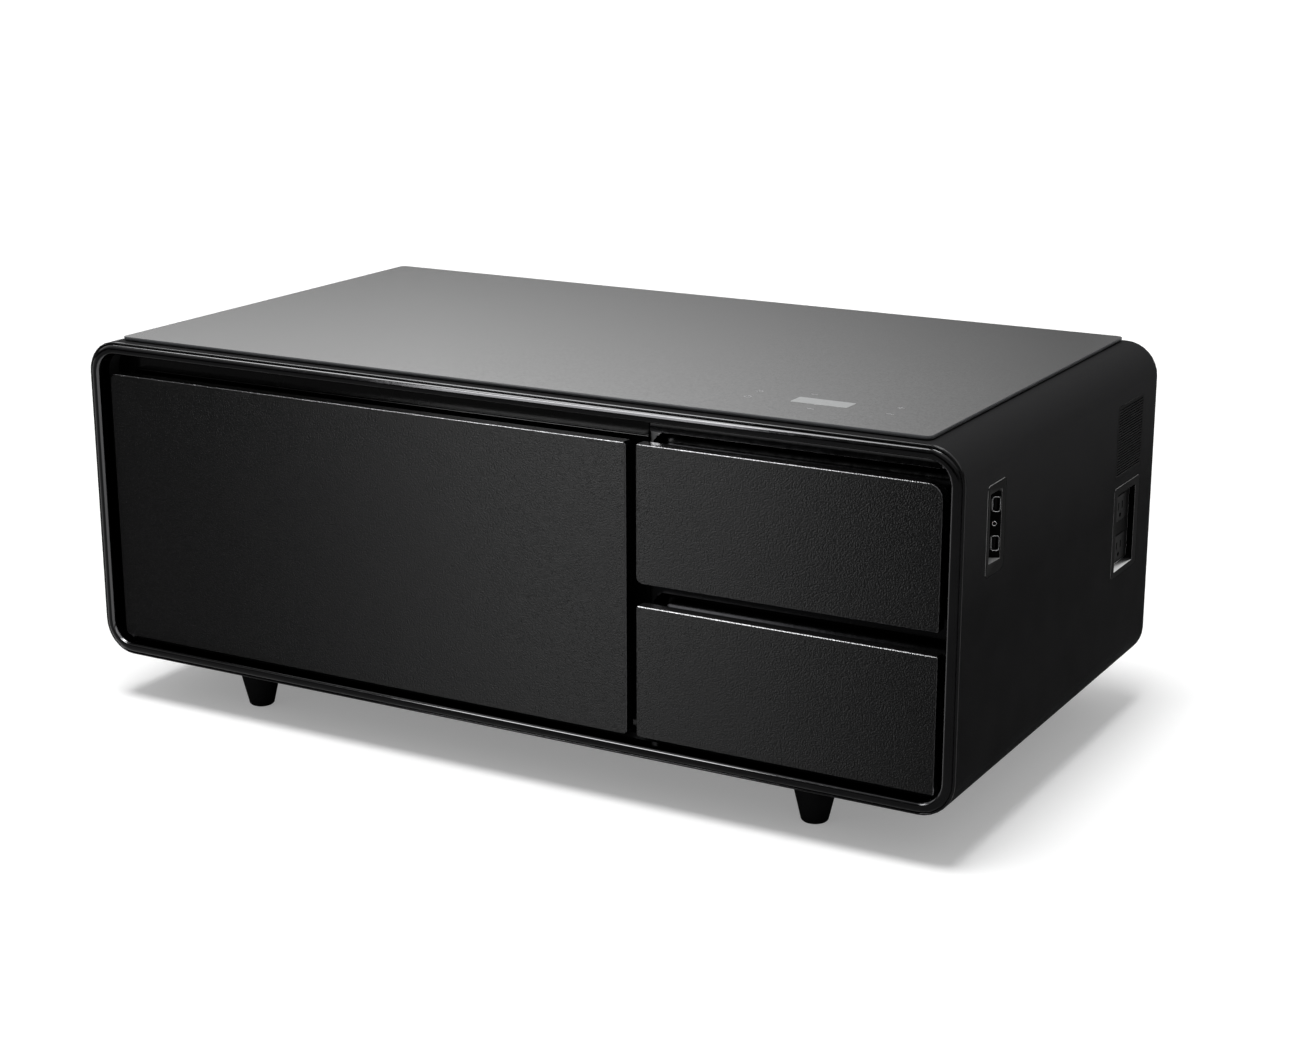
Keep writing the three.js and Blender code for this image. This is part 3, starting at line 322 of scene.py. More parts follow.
def blended(tree, factor, first, second):
    """Mix of two colours, or of two numbers, each given as a value or as a socket."""
    node = tree.nodes.new("ShaderNodeMix")
    numbers = isinstance(first, (int, float)) or getattr(first, "type", "") == "VALUE"
    node.data_type = "FLOAT" if numbers else "RGBA"
    sockets = {socket.identifier: socket for socket in node.inputs}
    suffix = "Float" if numbers else "Color"
    for letter, value in (("A", first), ("B", second)):
        socket = sockets[f"{letter}_{suffix}"]
        if isinstance(value, bpy.types.NodeSocket):
            tree.links.new(value, socket)
        else:
            socket.default_value = value if numbers else (*value, 1.0)
    tree.links.new(factor, sockets["Factor_Float"])
    return next(socket for socket in node.outputs if socket.identifier == f"Result_{suffix}")


def bumped(tree, relief, depth, strength=1.0):
    node = tree.nodes.new("ShaderNodeBump")
    node.inputs["Distance"].default_value = depth
    node.inputs["Strength"].default_value = strength
    tree.links.new(relief, node.inputs["Height"])
    return node.outputs["Normal"]


def facing(tree, direction, turn):
    """One where the surface has turned fully to a direction, and none where it hasn't begun to."""
    surface = tree.nodes.new("ShaderNodeTexCoord")
    dot = tree.nodes.new("ShaderNodeVectorMath")
    dot.operation = "DOT_PRODUCT"
    dot.inputs[1].default_value = direction
    tree.links.new(surface.outputs["Normal"], dot.inputs[0])
    return ranged(tree, dot.outputs["Value"], 0.0, 1.0, *turn)


def sideways(tree):
    """How far the surface faces away from the middle of the front, from minus one to one."""
    surface = tree.nodes.new("ShaderNodeTexCoord")
    normal = tree.nodes.new("ShaderNodeSeparateXYZ")
    place = tree.nodes.new("ShaderNodeSeparateXYZ")
    tree.links.new(surface.outputs["Normal"], normal.inputs["Vector"])
    tree.links.new(surface.outputs["Object"], place.inputs["Vector"])
    return computed(tree, "MULTIPLY", normal.outputs["X"], computed(tree, "SIGN", place.outputs["X"]))


def scaled(color, share):
    return tuple(channel * share for channel in color)


def grey(level):
    return (level, level, level)


def base_color(shader):
    """What feeds the shader's colour."""
    return shader.inputs["Base Color"].links[0].from_socket


def finish_of(name, color, roughness, grain, spread=0.05, tone=0.12, stretch=(1.0, 1.0, 1.0),
              metallic=0.0, specular=0.5):
    """Moulded, painted or rolled surface: its colour and roughness drift, and a fine grain lifts it."""
    material, tree, shader = new_material(name)
    width, depth = grain
    drift = ranged(tree, noise(tree, DRIFT_WIDTH, 3.0), 0.0, 1.0)
    fine = noise(tree, width, 2.0, stretch)
    color_out = blended(tree, drift, scaled(color, 1 - tone), scaled(color, 1 + tone))
    tree.links.new(color_out, shader.inputs["Base Color"])
    tree.links.new(ranged(tree, fine, roughness - spread, roughness + spread), shader.inputs["Roughness"])
    tree.links.new(bumped(tree, fine, depth), shader.inputs["Normal"])
    shader.inputs["Metallic"].default_value = metallic
    shader.inputs["Specular IOR Level"].default_value = specular
    return material, tree, shader


# Materials


def satin_shell_painted_light():
    """Satin paint with painted light: lighter toward the top and where the shoulders turn up, where more
    light falls.
    """
    material, tree, shader = finish_of(
        "satin_shell_painted_light", (0.0046, 0.0046, 0.0048), 0.66, SHELL_GRAIN, tone=0.2, specular=0.01,
    )
    # Painted light: the base colour grows lighter toward the top and on the shoulders that face up
    rise = ranged(tree, height(tree), 0.0, 1.0, *SHELL_PAINTED_LIGHT_LEVELS)
    side = blended(tree, rise, base_color(shader), (0.017, 0.017, 0.0175))
    shoulder = facing(tree, UPWARD, SHOULDER_PAINTED_LIGHT_TURN)
    tree.links.new(blended(tree, shoulder, side, (0.016, 0.016, 0.0165)), shader.inputs["Base Color"])
    return material


def textured_front():
    """Pebbled matt skin on the face, and smooth gloss on the edges that turn away from the front."""
    material, tree, shader = new_material("textured_front")
    width, depth = PEBBLE_GRAIN
    grain = pebbles(tree, width)
    seams = ranged(tree, grain, 0.0, 1.0, 0.1, 0.6)
    drift = ranged(tree, noise(tree, FRONT_DRIFT_WIDTH, 3.0), 0.0, 0.2)
    skin = blended(tree, seams, (0.0024, 0.0024, 0.0026), (0.0008, 0.0008, 0.0009))
    worn = blended(tree, drift, skin, (0.003, 0.003, 0.0032))
    face = facing(tree, FRONTWARD, FRONT_FACE_TURN)
    tree.links.new(blended(tree, face, (0.045, 0.045, 0.046), worn), shader.inputs["Base Color"])
    tree.links.new(computed(tree, "SUBTRACT", 1.0, face), shader.inputs["Metallic"])
    rough = ranged(tree, noise(tree, FRONT_SHEEN_WIDTH, 3.0), 0.3, 0.42)
    tree.links.new(blended(tree, face, 0.14, rough), shader.inputs["Roughness"])
    tree.links.new(bumped(tree, grain, depth, 0.9), shader.inputs["Normal"])
    shader.inputs["Specular IOR Level"].default_value = 0.045
    shader.inputs["Anisotropic"].default_value = 1.0
    upright = tree.nodes.new("ShaderNodeTangent")
    upright.direction_type = "RADIAL"
    upright.axis = "X"
    tree.links.new(upright.outputs["Tangent"], shader.inputs["Tangent"])
    return material


def gloss_moulding():
    return finish_of(
        "gloss_moulding", (0.002, 0.002, 0.0022), 0.1, GLOSS_GRAIN, spread=0.03, specular=0.1,
    )[0]


def bezel_gloss_painted_light():
    """Gloss of the front frame with painted light: a painted highlight along its crest and on its inner
    side, painted shade on the slope under the crest and on its sill, and a dimmed reflection as painted
    shade on its outer side.
    """
    material, tree, shader = finish_of(
        "bezel_gloss_painted_light", (0.008, 0.008, 0.0083), 0.1, GLOSS_GRAIN, spread=0.03, metallic=1.0, specular=0.02,
    )
    # Painted shade: the slope under the crest mirrors less
    slope_shade = facing(tree, UPWARD, SLOPE_PAINTED_SHADE_TURN)
    lower = blended(tree, slope_shade, base_color(shader), (0.005, 0.005, 0.0052))
    # Painted highlight: the crest mirrors more
    crest_highlight = facing(tree, UPWARD, CREST_PAINTED_HIGHLIGHT_TURN)
    with_crest_highlight = blended(tree, crest_highlight, lower, (0.019, 0.019, 0.0194))
    # Painted shade: the sill mirrors least
    low = ranged(tree, height(tree), 1.0, 0.0, *SILL_PAINTED_SHADE_LEVELS)
    sill_shade = computed(tree, "MULTIPLY", facing(tree, UPWARD, SILL_PAINTED_SHADE_TURN), low)
    front = blended(tree, sill_shade, with_crest_highlight, (0.002, 0.002, 0.0021))
    # Painted highlight on the inner side, which mirrors far more, and painted shade on the outer side,
    # which turns from metal to dim plastic
    outward = sideways(tree)
    inner = ranged(tree, outward, 1.0, 0.0, *INNER_PAINTED_HIGHLIGHT_TURN)
    outer = ranged(tree, outward, 0.0, 1.0, *OUTER_PAINTED_SHADE_TURN)
    tree.links.new(blended(tree, inner, front, (0.09, 0.09, 0.092)), shader.inputs["Base Color"])
    tree.links.new(computed(tree, "SUBTRACT", 1.0, outer), shader.inputs["Metallic"])
    return material


def lip_moulding_painted_light():
    """Gloss of the drawers' frame with painted light: a painted reflection brightens its lip, and painted
    shade darkens the ledges in the hollows behind it.
    """
    material, tree, shader = finish_of(
        "lip_moulding_painted_light", (0.0025, 0.0025, 0.0026), 0.16, GLOSS_GRAIN, spread=0.03, metallic=1.0,
    )
    # Painted shade: the upward ledges in the hollows are darker
    painted_ledge = facing(tree, UPWARD, POCKET_PAINTED_SHADE_TURN)
    shaded = blended(tree, painted_ledge, base_color(shader), (0.0014, 0.0014, 0.0015))
    # Painted reflection: the lip's front face mirrors far more
    high = ranged(tree, height(tree), 0.0, 1.0, *LIP_PAINTED_REFLECTION_LEVELS)
    lip_reflection = computed(tree, "MULTIPLY", facing(tree, FRONTWARD, LIP_PAINTED_REFLECTION_TURN), high)
    tree.links.new(blended(tree, lip_reflection, shaded, (0.07, 0.07, 0.071)), shader.inputs["Base Color"])
    return material


def deep_moulding_painted_shade():
    """Gloss of the frame behind the fronts, darker and mirroring less than the other gloss as painted
    shade.
    """
    return finish_of(
        "deep_moulding_painted_shade", (0.0012, 0.0012, 0.0013), 0.14, GLOSS_GRAIN, spread=0.03, specular=0.035,
    )[0]


def matt_moulding():
    return finish_of("matt_moulding", (0.003, 0.003, 0.0032), 0.36, MATT_GRAIN, specular=0.03)[0]


def outlet_face_painted_shade():
    """Black outlets, darker than the other black trim as painted shade from their niche."""
    return finish_of("outlet_face_painted_shade", (0.0012, 0.0012, 0.0013), 0.4, FINE_GRAIN, specular=0.02)[0]


def side_moulding_painted_light(name, face_tone, ledge_painted_light_and_shade, edge_highlight_tone):
    """Matt face, ledges with a painted tone of their own, hollows darkened as painted shade, and polished
    rounded edges between them whose mirror tone paints their highlights brighter.
    """
    material, tree, shader = new_material(name)
    width, depth = FINE_GRAIN
    fine = noise(tree, width, 2.0)
    matt = facing(tree, RIGHTWARD, INSERT_FACE_TURN)
    painted_ledge = facing(tree, UPWARD, INSERT_PAINTED_LEDGE_TURN)
    top_edge = facing(tree, UP_AND_RIGHT, INSERT_TOP_HIGHLIGHT_TURN)
    front_edge = facing(tree, FRONT_AND_RIGHT, INSERT_FRONT_HIGHLIGHT_TURN)
    edge = computed(tree, "MAXIMUM", top_edge, front_edge)
    # Painted shade darkens the hollows; the ledges take the painted tone given for the piece
    inner = blended(tree, painted_ledge, grey(0.001), grey(ledge_painted_light_and_shade))
    # Painted highlight: the edges' mirror tone is raised far above the face's
    sides = blended(tree, edge, inner, grey(edge_highlight_tone))
    polished = computed(tree, "MAXIMUM", computed(tree, "SUBTRACT", edge, matt), 0.0)
    tree.links.new(blended(tree, matt, sides, grey(face_tone)), shader.inputs["Base Color"])
    tree.links.new(blended(tree, matt, 0.2, ranged(tree, fine, 0.5, 0.64)), shader.inputs["Roughness"])
    tree.links.new(polished, shader.inputs["Metallic"])
    tree.links.new(bumped(tree, fine, depth), shader.inputs["Normal"])
    shader.inputs["Specular IOR Level"].default_value = 0.01
    return material


def black_rubber():
    return finish_of("black_rubber", grey(0.012), 0.8, RUBBER_GRAIN, tone=0.2)[0]


def smoked_glass():
    """Glass painted black underneath: an even film with a faint cloud and the finest speckle."""
    material, tree, shader = new_material("smoked_glass")
    width, depth = GLASS_GRAIN
    cloud = ranged(tree, noise(tree, GLASS_CLOUD_WIDTH, 4.0), 0.0, 1.0)
    speck = noise(tree, width, 3.0)
    tint = blended(tree, cloud, (0.006, 0.0062, 0.0066), (0.010, 0.0102, 0.0106))
    tree.links.new(tint, shader.inputs["Base Color"])
    tree.links.new(ranged(tree, speck, 0.08, 0.18), shader.inputs["Roughness"])
    tree.links.new(bumped(tree, speck, depth), shader.inputs["Normal"])
    shader.inputs["IOR"].default_value = 1.52
    return material


def glass_edge():
    """Ground edge of the glass: dim and grey."""
    return finish_of("glass_edge", (0.06, 0.062, 0.065), 0.35, GLASS_EDGE_GRAIN, specular=0.03)[0]


def display_pane():
    """Unlit display behind the glass: pale, with a fine dot raster."""
    material, tree, shader = new_material("display_pane")
    dots = ranged(tree, pebbles(tree, DISPLAY_DOT_WIDTH), 0.0, 1.0, 0.1, 0.6)
    haze = noise(tree, DISPLAY_HAZE_WIDTH, 2.0)
    raster = blended(tree, dots, (0.30, 0.31, 0.31), (0.24, 0.25, 0.25))
    hazy = blended(tree, ranged(tree, haze, 0.0, 0.4), raster, (0.36, 0.37, 0.37))
    tree.links.new(hazy, shader.inputs["Base Color"])
    tree.links.new(ranged(tree, haze, 0.12, 0.2), shader.inputs["Roughness"])
    return material


def icon_print():
    return finish_of("icon_print", (0.30, 0.30, 0.31), 0.3, PRINT_GRAIN, tone=0.25)[0]


def dark_laminate():
    """Printed board: long fibres along Y over a slow change of tone."""
    material, tree, shader = new_material("dark_laminate")
    width, depth = FIBRE_GRAIN
    fibre = noise(tree, width, 4.0, ALONG_FIBRE)
    tint = blended(tree, ranged(tree, fibre, 0.0, 1.0), (0.016, 0.013, 0.011), (0.036, 0.030, 0.026))
    tree.links.new(tint, shader.inputs["Base Color"])
    tree.links.new(ranged(tree, fibre, 0.4, 0.55), shader.inputs["Roughness"])
    tree.links.new(bumped(tree, fibre, depth), shader.inputs["Normal"])
    return material


def white_liner():
    return finish_of("white_liner", (0.74, 0.75, 0.75), 0.3, LINER_GRAIN, tone=0.03)[0]


def zinc_steel():
    return finish_of(
        "zinc_steel", (0.5, 0.51, 0.53), 0.3, ZINC_GRAIN,
        spread=0.08, tone=0.1, stretch=ALONG_SLIDE, metallic=1.0,
    )[0]


def mill_aluminium():
    return finish_of(
        "mill_aluminium", (0.62, 0.63, 0.64), 0.36, ALUMINIUM_GRAIN,
        spread=0.08, tone=0.06, stretch=ALONG_PLATE, metallic=1.0,
    )[0]


def bright_chrome():
    return finish_of("bright_chrome", (0.6, 0.6, 0.61), 0.16, CHROME_GRAIN, tone=0.06, metallic=1.0)[0]


def contact_gold():
    return finish_of("contact_gold", (0.75, 0.55, 0.24), 0.22, GOLD_GRAIN, tone=0.1, metallic=1.0)[0]


def machine_paint():
    return finish_of("machine_paint", (0.012, 0.012, 0.013), 0.3, MACHINE_GRAIN, tone=0.15)[0]


def floor_paint():
    """Pale matt floor, lifted to white for the camera where nothing shades it."""
    material, tree, shader = new_material("floor_paint")
    shader.inputs["Base Color"].default_value = FLOOR_COLOR
    shader.inputs["Roughness"].default_value = 0.9
    shader.inputs["Specular IOR Level"].default_value = 0.1
    glow = tree.nodes.new("ShaderNodeEmission")
    path = tree.nodes.new("ShaderNodeLightPath")
    lift = computed(tree, "MULTIPLY", path.outputs["Is Camera Ray"], FLOOR_LIFT)
    tree.links.new(lift, glow.inputs["Strength"])
    both = tree.nodes.new("ShaderNodeAddShader")
    tree.links.new(shader.outputs["BSDF"], both.inputs[0])
    tree.links.new(glow.outputs["Emission"], both.inputs[1])
    tree.links.new(both.outputs["Shader"], tree.nodes["Material Output"].inputs["Surface"])
    return material


# Material of each slot, and slot of each node
FINISHES = {
    "shell_black": satin_shell_painted_light(),
    "front_black": textured_front(),
    "gloss_black": gloss_moulding(),
    "trim_black": matt_moulding(),
    "smoked_glass": smoked_glass(),
    "rubber_black": black_rubber(),
    "board_dark": dark_laminate(),
    "liner_white": white_liner(),
    "zinc_steel": zinc_steel(),
    "aluminium": mill_aluminium(),
    "chrome": bright_chrome(),
    "machine_black": machine_paint(),
}
SLOT_OF = {part["node"]: part["material_slot"] for part in frame["record"]["subparts"]}


# Pieces


def link(name, mesh, body, slot, material=None):
    """A new piece from a bmesh, riding on a body and finished from a slot."""
    data = bpy.data.meshes.new(name)
    bmesh.ops.recalc_face_normals(mesh, faces=mesh.faces)
    mesh.to_mesh(data)
    mesh.free()
    piece = bpy.data.objects.new(name, data)
    bpy.context.scene.collection.objects.link(piece)
    data.materials.append(material or FINISHES[slot])
    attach(piece, body)
    return piece


def round_edges(piece, width):
    bevel = piece.modifiers.new("edge", "BEVEL")
    bevel.width = width
    bevel.segments = 2
    bevel.limit_method = "ANGLE"
    bevel.angle_limit = SHARP_ANGLE
    piece.modifiers.new("normals", "WEIGHTED_NORMAL").keep_sharp = True


def solid_copy(node):
    """The node's own solid with its flat faces made whole, shaded smooth."""
    mesh = bmesh.new()
    mesh.from_mesh(nodes[node].data)
    bmesh.ops.remove_doubles(mesh, verts=mesh.verts, dist=WELD)
    bmesh.ops.dissolve_limit(mesh, angle_limit=FLAT_ANGLE, verts=mesh.verts, edges=mesh.edges)
    for face in mesh.faces:
        face.smooth = True
    return mesh


def eased(node, width, material=None):
    """Stands for a CAD node: the same solid with its hard edges rounded."""
    piece = link(node + "_eased", solid_copy(node), nodes[node]["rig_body"], SLOT_OF[node], material)
    round_edges(piece, width)
    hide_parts(node)
    return piece


def glass_pane():
    """The glass, its upper face a hair lower, so that the print on it stays in the glass's own height."""
    mesh = solid_copy("glass_top")
    top = max(vert.co.z for vert in mesh.verts)
    for vert in mesh.verts:
        if top - vert.co.z < GLASS_SINK:
            vert.co.z -= GLASS_SINK
    for face in mesh.faces:
        face.normal_update()
        face.smooth = abs(face.normal.z) < math.cos(SHARP_ANGLE)
        face.material_index = int(face.smooth)
    piece = link("glass_pane", mesh, "cabinet", "smoked_glass")
    piece.data.materials.append(glass_edge())
    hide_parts("glass_top")


def dress_nodes():
    """Gives every node its slot's material, those inside the body too."""
    for name, node in nodes.items():
        for slot in node.material_slots:
            slot.material = FINISHES[SLOT_OF[name]]


def ease_visible_edges():
    widths = {
        "cabinet_shell": BOARD_EASE, "back_panel": SMALL_EASE, "power_inlet": BOARD_EASE,
        "fridge_front": BOARD_EASE, "upper_drawer_front": BOARD_EASE, "lower_drawer_front": BOARD_EASE,
        "upper_drawer_box": BOARD_EASE, "lower_drawer_box": BOARD_EASE,
        "fridge_tub": TUB_EASE, "fridge_cabinet": CABINET_EASE, "fridge_door_core": CORE_EASE,
        "fridge_gasket": SMALL_EASE, "evaporator_plate": THIN_EASE,
        "compressor": TUB_EASE, "fan_shroud": MOULDED_EASE, "fan_rotor": THIN_EASE,
    }
    for node, width in widths.items():
        eased(node, width)
    for end in ("front", "rear"):
        for side in ("left", "right"):
            eased(f"leg_{end}_{side}", BOARD_EASE)
            eased(f"foot_pad_{end}_{side}", SMALL_EASE)
    eased("front_bezel", BOARD_EASE, bezel_gloss_painted_light())
    eased("drawer_fascia", MOULDED_EASE, lip_moulding_painted_light())
    eased("fridge_fascia", SMALL_EASE, deep_moulding_painted_shade())
    # Painted light on these frames: the USB panel's and the outlet pocket's ledges are lighter than their
    # faces, the grille's ledges are darker as painted shade, and the USB panel's and the outlet pocket's
    # edges mirror far more as painted highlights
    eased("usb_panel", MOULDED_EASE, side_moulding_painted_light("usb_moulding_painted_light", 0.007, 0.3, 0.25))
    eased("outlet_pocket", MOULDED_EASE, side_moulding_painted_light("outlet_moulding_painted_light", 0.006, 0.03, 0.25))
    eased("side_grille", LOUVRE_EASE, side_moulding_painted_light("grille_moulding_painted_shade", 0.0042, 0.001, 0.03))
    outlet = outlet_face_painted_shade()
    for level in ("upper", "lower"):
        eased(f"{level}_outlet", SMALL_EASE, outlet)
        eased(f"usb_port_{level}", PORT_EASE, FINISHES["trim_black"])


# Outlines as X and Y points, and solids over them


def arc(center, radius, start, end, steps=ARC_STEPS):
    turns = [start + (end - start) * i / steps for i in range(steps + 1)]
    return [(center[0] + radius * math.cos(turn), center[1] + radius * math.sin(turn)) for turn in turns]


def circle(center, radius, points=ROUND_POINTS):
    return arc(center, radius, 0, 2 * math.pi * (points - 1) / points, points - 1)


def rounded(x0, x1, y0, y1, radius):
    """A rectangle with round corners."""
    quarter = math.pi / 2
    corners = ((x1 - radius, y0 + radius, 3), (x1 - radius, y1 - radius, 4),
               (x0 + radius, y1 - radius, 5), (x0 + radius, y0 + radius, 6))
    return [p for x, y, turn in corners for p in arc((x, y), radius, quarter * turn, quarter * (turn + 1))]


def stroke(start, end, half):
    """A short line with round ends."""
    turn = math.atan2(end[1] - start[1], end[0] - start[0])
    quarter = math.pi / 2
    return (arc(end, half, turn - quarter, turn + quarter)
            + arc(start, half, turn + quarter, turn + 3 * quarter))


def band(center, radius, half, start, end):
    """Part of a flat ring."""
    outer = arc(center, radius + half, start, end, BAND_STEPS)
    inner = arc(center, radius - half, start, end, BAND_STEPS)
    return outer + inner[::-1]


def loop_at(mesh, outline, level):
    return [mesh.verts.new((x, y, level)) for x, y in outline]


def wall(mesh, low, high):
    """Faces between two loops of as many points."""
    for i, vert in enumerate(low):
        k = (i + 1) % len(low)
        mesh.faces.new((vert, low[k], high[k], high[i]))


def prism(mesh, outline, low, high):
    foot = loop_at(mesh, outline, low)
    roof = loop_at(mesh, outline, high)
    mesh.faces.new(foot[::-1])
    mesh.faces.new(roof)
    wall(mesh, foot, roof)


def tube(mesh, outer, inner, low, high):
    """A closed wall between two outlines of as many points."""
    corners = ((outer, low), (outer, high), (inner, high), (inner, low))
    loops = [loop_at(mesh, outline, level) for outline, level in corners]
    for loop, following in zip(loops, loops[1:] + loops[:1]):
        wall(mesh, loop, following)


def ring(mesh, center, radius, bar, turns=32, sides=10):
    """A round bar, of radius bar, bent to a ring on the XY plane."""
    rows = []
    for i in range(turns):
        around = 2 * math.pi * i / turns
        row = []
        for k in range(sides):
            side = 2 * math.pi * k / sides
            reach = radius + bar * math.cos(side)
            x = center[0] + reach * math.cos(around)
            y = center[1] + reach * math.sin(around)
            row.append(mesh.verts.new((x, y, bar * math.sin(side))))
        rows.append(row)
    for i, row in enumerate(rows):
        following = rows[(i + 1) % turns]
        for k, vert in enumerate(row):
            n = (k + 1) % sides
            face = mesh.faces.new((vert, following[k], following[n], row[n]))
            face.smooth = True


# Display and touch signs


def on_glass(x, y):
    """A place over the touch module, from its middle."""
    low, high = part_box("touch_module")
    return ((low[0] + high[0]) / 2 + x, (low[1] + high[1]) / 2 + y)


def touch_display():
    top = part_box("glass_top")[1][2]
    x0, y0 = on_glass(DISPLAY[0], DISPLAY[2])
    x1, y1 = on_glass(DISPLAY[1], DISPLAY[3])
    mesh = bmesh.new()
    prism(mesh, rounded(x0, x1, y0, y1, DISPLAY_CORNER), top - PRINT_FOOT, top - DISPLAY_DROP)
    link("touch_display", mesh, "cabinet", "smoked_glass", display_pane())


def switch_sign():
    """An open ring with a bar in its gap."""
    x, y = on_glass(*SWITCH_SIGN)
    bar = stroke((x, y + SWITCH_BAR[0]), (x, y + SWITCH_BAR[1]), SIGN_STROKE)
    return [band((x, y), SIGN_RADIUS, SIGN_STROKE, *SWITCH_RING), bar]


def cold_sign():
    """A star of three crossed strokes."""
    x, y = on_glass(*COLD_SIGN)
    shapes = []
    for i in range(3):
        turn = math.pi * i / 3
        dx = COLD_REACH * math.cos(turn)
        dy = COLD_REACH * math.sin(turn)
        shapes.append(stroke((x - dx, y - dy), (x + dx, y + dy), SIGN_STROKE))
    return shapes


def dash_sign(place):
    x, y = on_glass(*place)
    return [stroke((x - SIGN_RADIUS, y), (x + SIGN_RADIUS, y), SIGN_STROKE)]


def plus_sign():
    x, y = on_glass(*PLUS_SIGN)
    lower = stroke((x, y - SIGN_RADIUS), (x, y - SIGN_STROKE), SIGN_STROKE)
    upper = stroke((x, y + SIGN_STROKE), (x, y + SIGN_RADIUS), SIGN_STROKE)
    return [*dash_sign(PLUS_SIGN), lower, upper]


def touch_icons():
    """Plain signs round the display: on and off, cold, plus and minus, and two dashes."""
    shapes = [*switch_sign(), *cold_sign(), *plus_sign()]
    for place in (MINUS_SIGN, *DASH_SIGNS):
        shapes += dash_sign(place)
    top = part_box("glass_top")[1][2]
    mesh = bmesh.new()
    for shape in shapes:
        prism(mesh, shape, top - PRINT_FOOT, top - SIGN_DROP)
    link("touch_icons", mesh, "cabinet", "smoked_glass", icon_print())


# What sits on the port face


def port_frame():
    """Turns local axes to the port face: X along it to its outer edge, Y up, Z out of it."""
    along = Vector((math.cos(PORT_TURN), math.sin(PORT_TURN), 0.0))
    out = Vector((math.sin(PORT_TURN), -math.cos(PORT_TURN), 0.0))
    turn = Matrix((along, UPWARD, out)).transposed().to_4x4()
    return Matrix.Translation((PORT_EDGE[0], PORT_EDGE[1], 0.0)) @ turn


def link_on_port_face(name, mesh, slot, material=None):
    mesh.transform(port_frame())
    return link(name, mesh, "cabinet", slot, material)


def port_tongue(name, level):
    """The tongue in a port's mouth."""
    mesh = bmesh.new()
    outline = rounded(*TONGUE_SIDES, level - TONGUE_REACH, level + TONGUE_REACH, TONGUE_CORNER)
    prism(mesh, outline, *TONGUE_DEPTHS)
    piece = link_on_port_face(f"usb_tongue_{name}", mesh, "trim_black")
    round_edges(piece, TONGUE_EASE)


def port_contacts(name, level):
    """Four contacts in a row on the tongue, ending short of its tip."""
    floor_level, tip = TONGUE_DEPTHS
    x = TONGUE_SIDES[1]
    mesh = bmesh.new()
    for offset in CONTACT_LEVELS:
        low = level + offset - CONTACT_WIDTH / 2
        high = level + offset + CONTACT_WIDTH / 2
        outline = rounded(x - CONTACT_PROUD, x + CONTACT_PROUD, low, high, CONTACT_PROUD / 2)
        prism(mesh, outline, floor_level, tip - CONTACT_SETBACK)
    link_on_port_face(f"usb_contacts_{name}", mesh, "chrome", contact_gold())


def port_rim(name, level):
    """Bright steel edge round a port."""
    loops = []
    for inset in (0.0, RIM_WIDTH):
        x = PORT_HALF[0] - inset
        y = PORT_HALF[1] - inset
        outline = rounded(PORT_MIDDLE - x, PORT_MIDDLE + x, level - y, level + y, PORT_ROUND - inset)
        loops.append(outline)
    mesh = bmesh.new()
    tube(mesh, *loops, PORT_FACE / 2, PORT_FACE + RIM_PROUD)
    piece = link_on_port_face(f"usb_rim_{name}", mesh, "chrome")
    round_edges(piece, RIM_PROUD)


def ports():
    for name, level in zip(("upper", "lower"), PORT_LEVELS):
        port_tongue(name, level)
        port_contacts(name, level)
        port_rim(name, level)


def port_indicator():
    mesh = bmesh.new()
    ring(mesh, INDICATOR, INDICATOR_RADIUS, INDICATOR_TUBE)
    link_on_port_face("usb_indicator_ring", mesh, "chrome")
    mesh = bmesh.new()
    lens = circle(INDICATOR, INDICATOR_RADIUS / 2, LENS_POINTS)
    prism(mesh, lens, -INDICATOR_TUBE, INDICATOR_TUBE / 3)
    link_on_port_face("usb_indicator_lens", mesh, "trim_black")


# Screws


def screw_head():
    """Low domed head with a cross recess, on the XY plane."""
    half, reach = SCREW_SLOT, SCREW_REACH
    cross = [
        (half, half), (half, reach), (-half, reach), (-half, half), (-reach, half), (-reach, -half),
        (-half, -half), (-half, -reach), (half, -reach), (half, -half), (reach, -half), (reach, half),
    ]
    rim = circle((0.0, 0.0), SCREW_RADIUS)
    crown = circle((0.0, 0.0), SCREW_CROWN)
    head = bmesh.new()
    foot = loop_at(head, rim, 0.0)
    shoulder = loop_at(head, rim, SCREW_RIM)
    top = loop_at(head, crown, SCREW_HEIGHT)
    mouth = loop_at(head, cross, SCREW_HEIGHT)
    bottom = loop_at(head, cross, SCREW_FLOOR)
    wall(head, foot, shoulder)
    wall(head, shoulder, top)
    wall(head, mouth, bottom)
    edges = []
    for loop in (top, mouth):
        for i, vert in enumerate(loop):
            other = loop[(i + 1) % len(loop)]
            edges.append(head.edges.get((vert, other)) or head.edges.new((vert, other)))
    bmesh.ops.triangle_fill(head, use_beauty=True, use_dissolve=False, edges=edges)
    head.faces.new(bottom)
    head.faces.new(foot[::-1])
    return head


def screws(name, body, places):
    """Screws whose heads face the back."""
    joined = bmesh.new()
    for place in places:
        head = screw_head()
        head.transform(Matrix.Translation(place) @ TO_THE_BACK)
        data = bpy.data.meshes.new("screw_head")
        head.to_mesh(data)
        head.free()
        joined.from_mesh(data)
        bpy.data.meshes.remove(data)
    link(name, joined, body, "zinc_steel")


